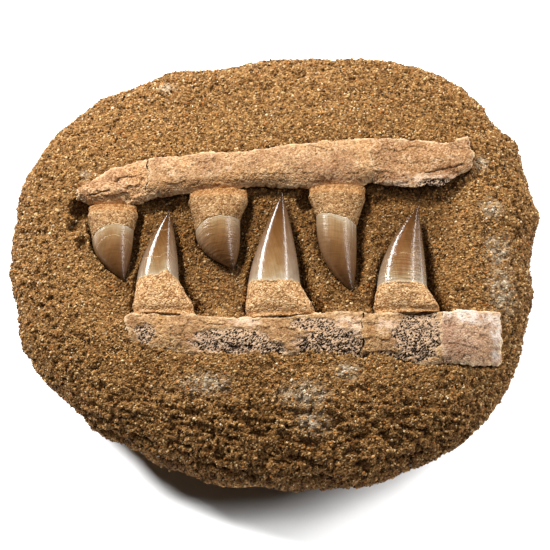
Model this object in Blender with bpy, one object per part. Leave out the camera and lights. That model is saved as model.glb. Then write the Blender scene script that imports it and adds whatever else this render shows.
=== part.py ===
"""Fossil mosasaur jaw in its block of phosphate sandstone, lying on its flat underside.

The block is a rounded slab. Its upper side carries two strips of jaw bone, and between them three upper
and three lower teeth, each a root and an enamel crown, half dug out of the rock.
Units are metres. +Z is up, +X runs to the rear of the jaw, and +Y from the lower jaw to the upper.
"""

import math

import bmesh
import bpy
import numpy as np
from mathutils import Vector, noise

# Block: the plan outline is an ellipse with rounded corners, each (degrees from +X, bulge, spread)
HALF_LENGTH = 0.1220
HALF_WIDTH = 0.1165
CORNERS = [
    (39.0, 0.0255, 38.0),
    (143.0, 0.0155, 27.0),
    (191.0, 0.0155, 40.0),
    (319.0, 0.0160, 36.0),
]
# Swellings and worn hollows of the outline, given in the same way
CHIPS = [
    (1.0, -0.0018, 3.0), (13.0, 0.0032, 4.0), (30.0, 0.0024, 3.0), (37.0, -0.0030, 4.0),
    (52.0, 0.0045, 8.0), (115.0, 0.0022, 6.0), (132.0, 0.0026, 5.0), (161.0, 0.0014, 8.0),
    (188.0, -0.0020, 5.0), (196.0, 0.0016, 4.0), (213.0, -0.0034, 6.0), (233.0, -0.0036, 6.0),
    (247.0, -0.0014, 7.0), (266.0, -0.0040, 6.0), (301.0, -0.0042, 8.0), (322.0, -0.0014, 8.0),
    (353.0, 0.0026, 6.0),
]
RIM_HEIGHT = 0.024
DOME_RISE = 0.032
DOME_FLATNESS = 3.2
DOME_SHOULDER = 0.5
BELLY_DEPTH = 0.0275
BELLY_FLATNESS = 2.6
BLOCK_CUTS = (36, 33, 8)
LUMP_SIZE = 0.034
LUMP_HEIGHT = 0.0021
SIDE_LUMP_HEIGHT = 0.0035
SIDE_LUMPS_FROM = 0.80

# Hollow that the preparator dug between the two jaws
HOLLOW_DEPTH_AT_UPPER_JAW = 0.0085
HOLLOW_DEPTH_AT_LOWER_JAW = 0.0040
HOLLOW_FRONT_X = -0.100
HOLLOW_REAR_X = 0.104
HOLLOW_FADE = 0.022
HOLLOW_UNDER_LOWER_JAW = 0.12
HOLLOW_UNDER_UPPER_JAW = 0.18
HOLLOW_EDGE_FADE = 0.24

# Deeper pits left beside the roots: (x, y, half length, half width, depth)
PITS = [
    (-0.1010, 0.0290, 0.0075, 0.0065, 0.0105),
    (0.0165, 0.0330, 0.0050, 0.0060, 0.0150),
    (-0.0580, 0.0305, 0.0100, 0.0030, 0.0110),
    (0.0560, 0.0330, 0.0060, 0.0045, 0.0110),
]
PIT_EDGE = 0.45

# Jaw bones: each station is (x, edge nearer the viewer, edge further away), from the front of the jaw to
# the rear. crest is how far the middle of the bone stands above the dome, and lip_drop how far its near
# edge falls below that. The bone is flat beyond flat_from.
JAWS = {
    "upper_jaw": dict(
        stations=[
            (-0.1025, 0.0350, 0.0400), (-0.0970, 0.0315, 0.0440), (-0.0880, 0.0300, 0.0495),
            (-0.0700, 0.0305, 0.0550), (-0.0640, 0.0330, 0.0555), (-0.0390, 0.0360, 0.0580),
            (-0.0100, 0.0395, 0.0600), (0.0000, 0.0385, 0.0620), (0.0460, 0.0390, 0.0665),
            (0.0510, 0.0420, 0.0670), (0.0660, 0.0390, 0.0670), (0.0860, 0.0395, 0.0665),
            (0.0930, 0.0420, 0.0670), (0.1010, 0.0495, 0.0700), (0.1045, 0.0560, 0.0610),
        ],
        breaks=(-0.0660, 0.0512), crest=0.0024, lip_drop=0.0030, flat_from=0.045,
    ),
    "lower_jaw": dict(
        stations=[
            (-0.0760, -0.0405, -0.0345), (-0.0735, -0.0465, -0.0320), (-0.0620, -0.0510, -0.0320),
            (-0.0350, -0.0555, -0.0335), (-0.0230, -0.0550, -0.0350), (0.0080, -0.0555, -0.0345),
            (0.0210, -0.0540, -0.0320), (0.0460, -0.0570, -0.0315), (0.0510, -0.0545, -0.0320),
            (0.0760, -0.0595, -0.0315), (0.0860, -0.0580, -0.0300), (0.1040, -0.0575, -0.0290),
            (0.1140, -0.0560, -0.0275), (0.1170, -0.0530, -0.0280),
        ],
        breaks=(0.0455, 0.0866), crest=0.0014, lip_drop=0.0006, flat_from=1.0,
    ),
}
BONE_FLAT_SHARE = 0.25
BONE_FLAT_FADE = 0.022
BONE_EDGE_ROUNDNESS = 3.0
BONE_DEPTH = 0.0135
BONE_CELL = 0.0065
BONE_CELLS_ACROSS = 6
END_LIFT = 0.0030
END_LIFT_START_X = 0.080
END_LIFT_FADE = 0.022

# Teeth: gum is the middle of the line between crown and root. crown and root are the lengths to either side
# of it, and tip_shift and root_shift how far their ends lie towards the rear. arch bends the gum line to
# the root's side, most of all at arch_peak, and gum_tilt slants it.
STRAIGHT_GUM = dict(arch=0.0, arch_peak=0.0, arch_power=2.0, gum_tilt=0.0)
TEETH = {
    "lower_tooth_1": dict(
        gum=(-0.0604, -0.0130), gum_width=0.0217, crown=0.0394, tip_shift=0.0066, taper=1.7, lean=1.6,
        root=0.0176, root_width=0.0340, root_shift=0.0034, pointing=1, **STRAIGHT_GUM,
    ),
    "lower_tooth_2": dict(
        gum=(-0.0002, -0.0140), gum_width=0.0271, crown=0.0497, tip_shift=0.0041, taper=1.45, lean=1.5,
        root=0.0190, root_width=0.0380, root_shift=0.0038, pointing=1, **STRAIGHT_GUM,
    ),
    "lower_tooth_3": dict(
        gum=(0.0660, -0.0170), gum_width=0.0260, crown=0.0451, tip_shift=0.0081, taper=1.75, lean=2.0,
        root=0.0130, root_width=0.0365, root_shift=0.0027, pointing=1, **STRAIGHT_GUM,
    ),
    "upper_tooth_1": dict(
        gum=(-0.0840, 0.0122), gum_width=0.0214, crown=0.0251, tip_shift=0.0062, taper=2.1, lean=2.2,
        root=0.0155, root_width=0.0268, root_shift=-0.0002, pointing=-1,
        arch=0.0050, arch_peak=0.35, arch_power=3.0, gum_tilt=0.0,
    ),
    "upper_tooth_2": dict(
        gum=(-0.0295, 0.0125), gum_width=0.0230, crown=0.0212, tip_shift=0.0095, taper=2.5, lean=2.0,
        root=0.0222, root_width=0.0325, root_shift=0.0002, pointing=-1,
        arch=0.0085, arch_peak=0.55, arch_power=2.6, gum_tilt=0.0,
    ),
    "upper_tooth_3": dict(
        gum=(0.0321, 0.0196), gum_width=0.0208, crown=0.0396, tip_shift=0.0089, taper=2.9, lean=2.6,
        root=0.0172, root_width=0.0313, root_shift=0.0005, pointing=-1,
        arch=0.0020, arch_peak=-0.3, arch_power=4.0, gum_tilt=-0.0022,
    ),
}
TOOTH_SIDES = 14
CROWN_RINGS = 8
ROOT_RINGS = 4
CROWN_DEPTH_SHARE = 0.80
ROOT_DEPTH_SHARE = 0.46
TIP_RADIUS = 0.0007
ROOT_COLLAR = 0.0005
ROOT_FLARE = 1.35
ROOT_SQUARENESS = 0.72
ROOT_SQUARE_BY = 0.5
ROOT_END_ROUNDING = 0.14
ROOT_ROUND_FROM = 0.75
AXIS_BELOW_DOME = 0.0055
SEAT_GAP = 0.0007

# Trench round each tooth, wider on the rear side
TRENCH_FRONT_MARGIN = 0.0012
TRENCH_REAR_MARGIN = 0.0056
TRENCH_DEPTH_SHARE = 0.80
TRENCH_HEADROOM = 0.016
TRENCH_PAST_TIP = 0.0022
TRENCH_SIDES = 12
TRENCH_RINGS = 6

# Clearance that neighbouring pieces keep
GAP = 0.0003
# A distance or share that is as good as nothing
HAIR = 1e-6

# Faces that meet at more than this many degrees are shaded with a crease
CREASE_ANGLE = 40.0

MATERIALS = {
    "phosphate_sandstone": ((0.36, 0.22, 0.10), 0.95),
    "fossil_bone": ((0.66, 0.45, 0.28), 0.85),
    "tooth_root": ((0.62, 0.43, 0.25), 0.85),
    "tooth_enamel": ((0.42, 0.29, 0.17), 0.25),
}


def clear_scene():
    """Removes whatever the startup file holds."""
    for obj in list(bpy.data.objects):
        bpy.data.objects.remove(obj, do_unlink=True)


def new_collection(name):
    collection = bpy.data.collections.new(name)
    bpy.context.scene.collection.children.link(collection)
    return collection


def make_material(name):
    colour, roughness = MATERIALS[name]
    material = bpy.data.materials.new(name)
    material.use_nodes = True
    surface = material.node_tree.nodes["Principled BSDF"]
    surface.inputs["Base Color"].default_value = (*colour, 1.0)
    surface.inputs["Roughness"].default_value = roughness
    surface.inputs["Metallic"].default_value = 0.0
    return material


def smooth(value):
    """An even step from 0 to 1 as value goes from 0 to 1."""
    value = min(max(value, 0.0), 1.0)
    return value * value * (3.0 - 2.0 * value)


def outline_radius(angle):
    """Plan radius of the block at an angle from +X."""
    radius = 1.0 / math.hypot(math.cos(angle) / HALF_LENGTH, math.sin(angle) / HALF_WIDTH)
    for bearing, bulge, spread in CORNERS + CHIPS:
        turn = (math.degrees(angle) - bearing + 180.0) % 360.0 - 180.0
        radius += bulge * math.exp(-((turn / spread) ** 2))
    return radius


def outline_share(x, y):
    """How far a plan point lies from the centre, as a share of the outline's radius there."""
    return math.hypot(x, y) / outline_radius(math.atan2(y, x))


def dome_height(x, y):
    """Height of the undug upper side of the block."""
    share = min(outline_share(x, y), 1.0)
    return RIM_HEIGHT + DOME_RISE * (1.0 - share**DOME_FLATNESS) ** DOME_SHOULDER


def belly_height(share):
    """Height of the underside, which ends in a flat foot on the floor."""
    hang = BELLY_DEPTH * math.sqrt(max(1.0 - share**BELLY_FLATNESS, 0.0))
    return max(RIM_HEIGHT - hang, 0.0)


def jaw_edges(jaw, x):
    """The two long edges of a jaw bone at x."""
    xs, near, far = zip(*jaw["stations"])
    return float(np.interp(x, xs, near)), float(np.interp(x, xs, far))


def pit_depth(x, y):
    """How deep the pits beside the roots go at a plan point."""
    deepest = 0.0
    for middle_x, middle_y, reach_x, reach_y, depth in PITS:
        distance = math.hypot((x - middle_x) / reach_x, (y - middle_y) / reach_y)
        deepest = max(deepest, depth * smooth((1.0 + PIT_EDGE - distance) / (2.0 * PIT_EDGE)))
    return deepest


def hollow_depth(x, y):
    """How deep the rock between the jaws is dug away."""
    below = jaw_edges(JAWS["lower_jaw"], x)[1]
    above = jaw_edges(JAWS["upper_jaw"], x)[0]
    across = (y - below) / (above - below)
    inside = smooth((across + HOLLOW_UNDER_LOWER_JAW) / HOLLOW_EDGE_FADE)
    inside *= smooth((1.0 + HOLLOW_UNDER_UPPER_JAW - across) / HOLLOW_EDGE_FADE)
    front = smooth((x - HOLLOW_FRONT_X) / HOLLOW_FADE)
    rear = smooth((HOLLOW_REAR_X - x) / HOLLOW_FADE)
    rise = HOLLOW_DEPTH_AT_UPPER_JAW - HOLLOW_DEPTH_AT_LOWER_JAW
    depth = HOLLOW_DEPTH_AT_LOWER_JAW + rise * smooth(across)
    return max(depth * inside * front * rear, pit_depth(x, y))


def lump(x, y, z, seed):
    """Gentle irregularity of the rock's surface, between -1 and 1."""
    return noise.noise(Vector((x, y, z)) / LUMP_SIZE + Vector((seed, 0.0, 0.0)))


def cube_grid(cuts):
    """A cube from -1 to 1 whose faces are grids, with this many cuts along X, Y and Z."""
    bm = bmesh.new()
    bmesh.ops.create_cube(bm, size=2.0)
    for axis, count in enumerate(cuts):
        edges = [e for e in bm.edges if abs(e.verts[0].co[axis] - e.verts[1].co[axis]) > HAIR]
        if count:
            bmesh.ops.subdivide_edges(bm, edges=edges, cuts=count, use_grid_fill=True)
    return bm


def new_object(name, bm, collection, material=None):
    """Turns a bmesh into an object of the collection."""
    bmesh.ops.recalc_face_normals(bm, faces=bm.faces)
    if bm.calc_volume(signed=True) < 0.0:
        bmesh.ops.reverse_faces(bm, faces=bm.faces)
    mesh = bpy.data.meshes.new(name)
    bm.to_mesh(mesh)
    bm.free()
    obj = bpy.data.objects.new(name, mesh)
    collection.objects.link(obj)
    if material:
        mesh.materials.append(material)
        mesh.shade_smooth()
        mesh.set_sharp_from_angle(angle=math.radians(CREASE_ANGLE))
    return obj


def new_cutter(name, bm, cutters):
    cutter = new_object(name, bm, cutters)
    cutter.hide_render = True
    cutter.display_type = "WIRE"
    return cutter


def block_point(direction):
    """Place on the block's surface of a point of the unit sphere."""
    flat = math.hypot(direction.x, direction.y)
    angle = math.atan2(direction.y, direction.x)
    share = min(flat, 1.0)
    radius = outline_radius(angle) * share
    x, y = radius * math.cos(angle), radius * math.sin(angle)
    side = smooth((share - SIDE_LUMPS_FROM) / (1.0 - SIDE_LUMPS_FROM))
    if direction.z < -HAIR:
        z = belly_height(share)
    else:
        z = dome_height(x, y) - hollow_depth(x, y)
    if z <= 0.0:
        return Vector((x, y, 0.0))
    swell = 1.0 + SIDE_LUMP_HEIGHT * lump(x, y, z, 7.0) / radius * side
    z += LUMP_HEIGHT * lump(x, y, z, 3.0) * (1.0 - side) * smooth(z / LUMP_SIZE)
    return Vector((x * swell, y * swell, z))


def make_block(collection, material):
    """The rock: a rounded slab whose top is dug out between the jaws and whose foot is flat."""
    bm = cube_grid(BLOCK_CUTS)
    for vert in bm.verts:
        vert.co = block_point(vert.co.normalized())
    foot = [f for f in bm.faces if all(v.co.z == 0.0 for v in f.verts)]
    bmesh.ops.dissolve_faces(bm, faces=foot)
    return new_object("matrix_block", bm, collection, material)


def bone_top(jaw, x, across):
    """Height of a jaw bone's outer face; across runs from -1 at the near edge to 1 at the far edge."""
    near, far = jaw_edges(jaw, x)
    y = 0.5 * (near + far) + 0.5 * (far - near) * across
    edge = abs(across) ** BONE_EDGE_ROUNDNESS
    flat = 1.0 - (1.0 - BONE_FLAT_SHARE) * smooth((x - jaw["flat_from"]) / BONE_FLAT_FADE)
    drop = jaw["lip_drop"] * edge if across < 0.0 else 0.0
    lift = END_LIFT * smooth((x - END_LIFT_START_X) / END_LIFT_FADE)
    return dome_height(x, y) + (jaw["crest"] * (1.0 - edge) - drop) * flat + lift


def bone_mesh(jaw, x_from, x_to, grow=0.0, headroom=0.0):
    """A length of jaw bone, its lower part sunk in the rock.

    grow widens it all round and headroom raises its top, for the pocket that it sits in.
    """
    cells = max(int((x_to - x_from) / BONE_CELL), 2)
    bm = cube_grid((cells - 1, BONE_CELLS_ACROSS - 1, 1))
    for vert in bm.verts:
        along, across, level = vert.co
        x = x_from - grow + (x_to - x_from + 2.0 * grow) * (along + 1.0) / 2.0
        near, far = jaw_edges(jaw, x)
        y = 0.5 * (near + far) + (0.5 * (far - near) + grow) * across
        top = bone_top(jaw, x, across) + headroom
        bottom = dome_height(x, 0.5 * (near + far)) - BONE_DEPTH - grow
        z = bottom + (top - bottom) * (level + 1.0) / 2.0
        vert.co = Vector((x, y, z))
    return bm


def make_jaws(collection, material, cutters):
    """Each jaw's bone in three lengths, broken at its breaks, each with its pocket."""
    for jaw_name, jaw in JAWS.items():
        stations, breaks = jaw["stations"], jaw["breaks"]
        starts = [stations[0][0], *(x + GAP / 2.0 for x in breaks)]
        ends = [*(x - GAP / 2.0 for x in breaks), stations[-1][0]]
        for part, start, end in zip(("front", "middle", "rear"), starts, ends):
            name = f"{jaw_name}_{part}"
            new_object(name, bone_mesh(jaw, start, end), collection, material)
            new_cutter("pocket_" + name, bone_mesh(jaw, start, end, GAP, TRENCH_HEADROOM), cutters)


def tooth_frame(tooth, along):
    """Middle, half width and half depth of a tooth at a share of its length.

    along is 0 at the gum, 1 at the tip and -1 at the root's end.
    """
    gum_x, gum_y = tooth["gum"]
    if along >= 0.0:
        x = gum_x + tooth["tip_shift"] * along ** tooth["lean"]
        y = gum_y + tooth["pointing"] * tooth["crown"] * along
        width = tooth["gum_width"] / 2.0 * (1.0 - along ** tooth["taper"])
        half_width = max(width, TIP_RADIUS)
        half_depth = max(width * CROWN_DEPTH_SHARE, TIP_RADIUS)
    else:
        back = -along
        x = gum_x + tooth["root_shift"] * back
        y = gum_y - tooth["pointing"] * tooth["root"] * back
        flare = tooth["root_width"] - tooth["gum_width"]
        width = tooth["gum_width"] / 2.0 + flare / 2.0 * back**ROOT_FLARE + ROOT_COLLAR
        rounding = 1.0 - ROOT_END_ROUNDING * smooth((back - ROOT_ROUND_FROM) / (1.0 - ROOT_ROUND_FROM))
        depth_share = CROWN_DEPTH_SHARE + (ROOT_DEPTH_SHARE - CROWN_DEPTH_SHARE) * back
        half_width = width * rounding
        half_depth = width * depth_share * rounding
    z = dome_height(x, y) - AXIS_BELOW_DOME
    return Vector((x, y, z)), half_width, half_depth


def gum_bend(tooth, side):
    """How far the gum line bends towards the root; side is -1 and 1 at the tooth's flanks."""
    away = abs(side - tooth["arch_peak"]) / (1.0 + abs(tooth["arch_peak"]))
    return tooth["arch"] * (1.0 - away ** tooth["arch_power"]) + tooth["gum_tilt"] * side


def tooth_point(tooth, along, angle, reach, grow=0.0):
    """A point of a tooth's skin, a root being squarer than a crown; reach is 1 on the skin, 0 inside."""
    centre, half_width, half_depth = tooth_frame(tooth, along)
    side = math.cos(angle) * reach
    square = 1.0 + (ROOT_SQUARENESS - 1.0) * smooth(-along / ROOT_SQUARE_BY)
    up = math.copysign(abs(math.sin(angle)) ** square, math.sin(angle))
    x = centre.x + (half_width + grow) * side
    y = centre.y - tooth["pointing"] * gum_bend(tooth, side) * smooth(1.0 - abs(along))
    z = centre.z + (half_depth + grow) * up * reach
    return Vector((x, y, z))


def tube_grid(sides, rings):
    """A closed unit tube along Z from 0 to 1, with rings and a centre point in each end."""
    bm = bmesh.new()
    bmesh.ops.create_cone(bm, cap_ends=True, segments=sides, radius1=1.0, radius2=1.0, depth=1.0)
    bmesh.ops.translate(bm, verts=bm.verts, vec=(0.0, 0.0, 0.5))
    rails = [e for e in bm.edges if abs(e.verts[0].co.z - e.verts[1].co.z) > 0.5]
    bmesh.ops.subdivide_edges(bm, edges=rails, cuts=rings - 1, use_grid_fill=True)
    caps = [f for f in bm.faces if len(f.verts) == sides]
    bmesh.ops.poke(bm, faces=caps)
    return bm


def bend_tube(bm, along_of, place):
    """Moves a unit tube's points onto a tooth; along_of turns a share of the tube into one of the tooth."""
    for vert in bm.verts:
        reach = min(math.hypot(vert.co.x, vert.co.y), 1.0)
        angle = math.atan2(vert.co.y, vert.co.x)
        vert.co = place(along_of(vert.co.z), angle, reach)
    return bm


def crown_mesh(tooth, grow=0.0):
    """The enamel crown. grow widens it all round for the pocket it sits in."""
    start = (GAP / 2.0 - grow) / tooth["crown"]
    end = 1.0 + grow / tooth["crown"]

    def along_of(share):
        return start + (end - start) * share

    def place(along, angle, reach):
        inner = min(max(along, 0.0), 1.0)
        point = tooth_point(tooth, inner, angle, reach, grow)
        point.y += tooth["pointing"] * tooth["crown"] * (along - inner)
        return point

    return bend_tube(tube_grid(TOOTH_SIDES, CROWN_RINGS), along_of, place)


def seat(tooth, x, grow):
    """Where the jaw bone stops a tooth's root at x."""
    if tooth["pointing"] > 0:
        return jaw_edges(JAWS["lower_jaw"], x)[1] + SEAT_GAP - grow
    return jaw_edges(JAWS["upper_jaw"], x)[0] - SEAT_GAP + grow


def root_mesh(tooth, grow=0.0):
    """The root, which ends against the jaw bone. grow widens it all round for the pocket it sits in."""
    start = -(GAP / 2.0 - grow) / tooth["root"]
    end = -1.0 - grow / tooth["root"]

    def along_of(share):
        return start + (end - start) * share

    def place(along, angle, reach):
        inner = min(max(along, -1.0), -HAIR)
        point = tooth_point(tooth, inner, angle, reach, grow)
        point.y += tooth["pointing"] * tooth["root"] * (along - inner)
        stop = max if tooth["pointing"] > 0 else min
        point.y = stop(point.y, seat(tooth, point.x, grow))
        return point

    return bend_tube(tube_grid(TOOTH_SIDES, ROOT_RINGS), along_of, place)


def trench_mesh(tooth):
    """The trench that frees a tooth's sides, so shallow that the tooth's underside stays in the rock."""
    end = 1.0 + TRENCH_PAST_TIP / tooth["crown"]

    def along_of(share):
        return -1.0 + (end + 1.0) * share

    def place(along, angle, reach):
        inner = min(max(along, -1.0), 1.0)
        centre, half_width, half_depth = tooth_frame(tooth, inner)
        margin = (TRENCH_FRONT_MARGIN + TRENCH_REAR_MARGIN) / 2.0
        shift = (TRENCH_REAR_MARGIN - TRENCH_FRONT_MARGIN) / 2.0
        lift = TRENCH_HEADROOM if math.sin(angle) > 0.0 else half_depth * TRENCH_DEPTH_SHARE + GAP
        x = centre.x + shift + (half_width + margin) * math.cos(angle) * reach
        y = centre.y + tooth["pointing"] * tooth["crown"] * (along - inner)
        return Vector((x, y, centre.z + lift * math.sin(angle) * reach))

    return bend_tube(tube_grid(TRENCH_SIDES, TRENCH_RINGS), along_of, place)


def make_teeth(collection, root_material, enamel, cutters):
    """Every tooth as a crown and a root, with the pockets and the trench that the rock needs for it."""
    for name, tooth in TEETH.items():
        new_object(name + "_crown", crown_mesh(tooth), collection, enamel)
        new_object(name + "_root", root_mesh(tooth), collection, root_material)
        new_cutter("pocket_" + name + "_crown", crown_mesh(tooth, GAP), cutters)
        new_cutter("pocket_" + name + "_root", root_mesh(tooth, GAP), cutters)
        new_cutter("trench_" + name, trench_mesh(tooth), cutters)


def carve(block, cutters):
    """Cuts every pocket and trench out of the rock, which the exact solver loses where cutters cross."""
    for cutter in cutters.objects:
        modifier = block.modifiers.new("Carve " + cutter.name, "BOOLEAN")
        modifier.operation = "DIFFERENCE"
        modifier.solver = "MANIFOLD"
        modifier.object = cutter


def centre_on_origin(block, collections):
    """Moves everything so that the block's plan box is centred on the origin."""
    corners = [Vector(corner) for corner in block.bound_box]
    low = Vector(map(min, zip(*corners)))
    high = Vector(map(max, zip(*corners)))
    middle = (low + high) / 2.0
    for collection in collections:
        for obj in collection.objects:
            obj.location -= Vector((middle.x, middle.y, 0.0))


def main():
    clear_scene()
    fossil = new_collection("fossil_mosasaur_jaw")
    cutters = new_collection("cutters")
    sandstone, bone, root, enamel = (make_material(name) for name in MATERIALS)
    block = make_block(fossil, sandstone)
    make_jaws(fossil, bone, cutters)
    make_teeth(fossil, root, enamel, cutters)
    carve(block, cutters)
    centre_on_origin(block, (fossil, cutters))


main()
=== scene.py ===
"""Visual model of a fossil mosasaur jaw, half dug out of its rounded block of phosphate sandstone.

Shapes are worked out in the jaw's own coordinates, in metres: +X to the rear of the jaw, +Y from the lower jaw
to the upper and +Z up out of the dug face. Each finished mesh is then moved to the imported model's frame.
"""

import logging
import math
from dataclasses import dataclass
from enum import Enum

import bmesh
import bpy
import numpy as np
from mathutils import Matrix, Vector, noise
from numpy.typing import NDArray

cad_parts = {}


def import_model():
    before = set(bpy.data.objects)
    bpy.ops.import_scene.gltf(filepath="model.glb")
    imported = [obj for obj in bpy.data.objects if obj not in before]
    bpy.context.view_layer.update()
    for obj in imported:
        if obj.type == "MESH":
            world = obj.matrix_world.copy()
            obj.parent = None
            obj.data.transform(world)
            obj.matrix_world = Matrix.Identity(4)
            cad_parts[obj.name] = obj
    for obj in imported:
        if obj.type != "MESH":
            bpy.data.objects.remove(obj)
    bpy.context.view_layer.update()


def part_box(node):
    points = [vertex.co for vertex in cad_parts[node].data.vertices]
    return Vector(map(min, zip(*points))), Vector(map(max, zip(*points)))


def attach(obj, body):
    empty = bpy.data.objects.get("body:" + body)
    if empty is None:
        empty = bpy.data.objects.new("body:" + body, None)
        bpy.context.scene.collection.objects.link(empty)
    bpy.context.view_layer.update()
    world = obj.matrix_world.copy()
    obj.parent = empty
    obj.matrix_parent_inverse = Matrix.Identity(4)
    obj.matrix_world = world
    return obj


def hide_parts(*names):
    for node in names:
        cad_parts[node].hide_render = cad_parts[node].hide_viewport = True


Array = NDArray[np.float64]
Patch = tuple[float, float, float, float]
Point = tuple[float, float, float]
Stops = tuple[tuple[float, str], ...]
Socket = bpy.types.NodeSocket
log = logging.getLogger("fossil_jaw")

MM = 0.001


class Slot(Enum):
    """The record's material slots."""

    SANDSTONE = "sandstone"
    BONE = "bone"
    ROOT = "root"
    ENAMEL = "enamel"


class Lights(Enum):
    """What a lamp lights: the floor alone, or everything but the floor."""

    FLOOR = "INCLUDE"
    FOSSIL = "EXCLUDE"


def linear(code: str) -> tuple[float, float, float, float]:
    """Turns an sRGB hex colour into Blender's linear colour.

    Args:
        code: Six hex digits, such as "C69B6D".

    Returns:
        Linear red, green and blue, and an alpha of 1.
    """
    shares = [int(code[i : i + 2], 16) / 255.0 for i in (0, 2, 4)]
    red, green, blue = (s / 12.92 if s <= 0.04045 else ((s + 0.055) / 1.055) ** 2.4 for s in shares)
    return red, green, blue, 1.0


def smooth(value: Array) -> Array:
    """An even step from 0 to 1 as value goes from 0 to 1."""
    value = np.clip(value, 0.0, 1.0)
    return value * value * (3.0 - 2.0 * value)


def rows(x: Array | float, y: Array | float, z: Array | float) -> Array:
    """One row of x, y and z for each point. Any of them may be one number for all points."""
    return np.stack(np.broadcast_arrays(x, y, z), axis=1)


def ripple(points: Array, size: float, seed: float, octaves: int = 1) -> Array:
    """Soft noise over a set of points.

    Args:
        points: One row of x, y and z for each point.
        size: How far apart the swells lie.
        seed: Which of the endless patterns to use.
        octaves: How many finer layers are added up.

    Returns:
        A value of about -1 to 1 for each point.
    """
    shift = np.array([17.0, -5.3, 9.1]) * seed
    places = (points / size + shift).tolist()
    return np.array([noise.fractal(Vector(place), 1.0, 2.0, octaves) for place in places])


def swells(points: Array, seed: float) -> Array:
    """Soft noise, of about -1 to 1, at points given in units of its size."""
    places = (points + np.array([seed, 0.0, 0.0])).tolist()
    return np.array([noise.noise(Vector(place)) for place in places])


def patch_share(x: Array, y: Array, patches: tuple[Patch, ...], edge: float) -> Array:
    """How far points lie inside any of some oval patches.

    Args:
        x: The points' x.
        y: The points' y.
        patches: Each patch's middle x and y and its half sizes along X and Y.
        edge: How soft the patches' edges are, as a share of their size.

    Returns:
        1 inside a patch, 0 outside, and between them at its edge.
    """
    share = np.zeros_like(x)
    for middle_x, middle_y, reach_x, reach_y in patches:
        distance = np.hypot((x - middle_x) / reach_x, (y - middle_y) / reach_y)
        share = np.maximum(share, smooth((1.0 + edge - distance) / (2.0 * edge)))
    return share


@dataclass(frozen=True)
class Rock:
    """The block's plain form: an oval pebble with a flat foot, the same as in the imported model."""

    half_length: float = 0.1220
    half_width: float = 0.1165
    corners: tuple[Point, ...] = (
        (39.0, 0.0255, 38.0), (143.0, 0.0155, 27.0), (191.0, 0.0155, 40.0), (319.0, 0.0160, 36.0),
    )
    chips: tuple[Point, ...] = (
        (1.0, -0.0018, 3.0), (13.0, 0.0032, 4.0), (30.0, 0.0024, 3.0), (37.0, -0.0030, 4.0),
        (52.0, 0.0045, 8.0), (115.0, 0.0022, 6.0), (132.0, 0.0026, 5.0), (161.0, 0.0014, 8.0),
        (188.0, -0.0020, 5.0), (196.0, 0.0016, 4.0), (213.0, -0.0034, 6.0), (233.0, -0.0036, 6.0),
        (247.0, -0.0014, 7.0), (266.0, -0.0040, 6.0), (301.0, -0.0042, 8.0), (322.0, -0.0014, 8.0),
        (353.0, 0.0026, 6.0),
    )
    lump_size: float = 0.034
    lump_height: float = 0.0021
    side_lump_height: float = 0.0035
    rim_height: float = 0.024
    dome_rise: float = 0.032
    dome_flatness: float = 3.2
    belly_depth: float = 0.0275
    belly_flatness: float = 2.6

    def radius(self, angle: Array) -> Array:
        """Plan radius of the block at each angle from +X."""
        reach = 1.0 / np.hypot(np.cos(angle) / self.half_length, np.sin(angle) / self.half_width)
        for bearing, bulge, spread in self.corners + self.chips:
            turn = (np.degrees(angle) - bearing + 180.0) % 360.0 - 180.0
            reach = reach + bulge * np.exp(-((turn / spread) ** 2))
        return reach

    def share(self, x: Array, y: Array) -> Array:
        """How far plan points lie from the centre, as a share of the outline's radius there."""
        return np.hypot(x, y) / self.radius(np.arctan2(y, x))

    def dome(self, x: Array, y: Array) -> Array:
        """Height of the undug upper side."""
        share = np.clip(self.share(x, y), 0.0, 1.0)
        return self.rim_height + self.dome_rise * np.sqrt(1.0 - share**self.dome_flatness)

    def lumpy(self, x: Array, y: Array, z: Array) -> Array:
        """Gives plain points of the skin the block's broad lumps.

        Args:
            x: The points' x.
            y: The points' y.
            z: The points' height.

        Returns:
            One row of x, y and z for each point.
        """
        points = rows(x, y, z)
        side = smooth((self.share(x, y) - 0.80) / 0.20)
        radius = np.maximum(np.hypot(x, y), MM)
        swell = 1.0 + self.side_lump_height * swells(points / self.lump_size, 7.0) / radius * side
        rise = self.lump_height * swells(points / self.lump_size, 3.0) * (1.0 - side)
        lumps = rows(x * swell, y * swell, z + rise * smooth(z / self.lump_size))
        return np.where((z > 0.0)[:, None], lumps, points)

    def belly(self, share: Array) -> Array:
        """Height of the underside, down to the flat foot."""
        hang = self.belly_depth * np.sqrt(np.clip(1.0 - share**self.belly_flatness, 0.0, 1.0))
        return np.maximum(self.rim_height - hang, 0.0)


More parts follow.
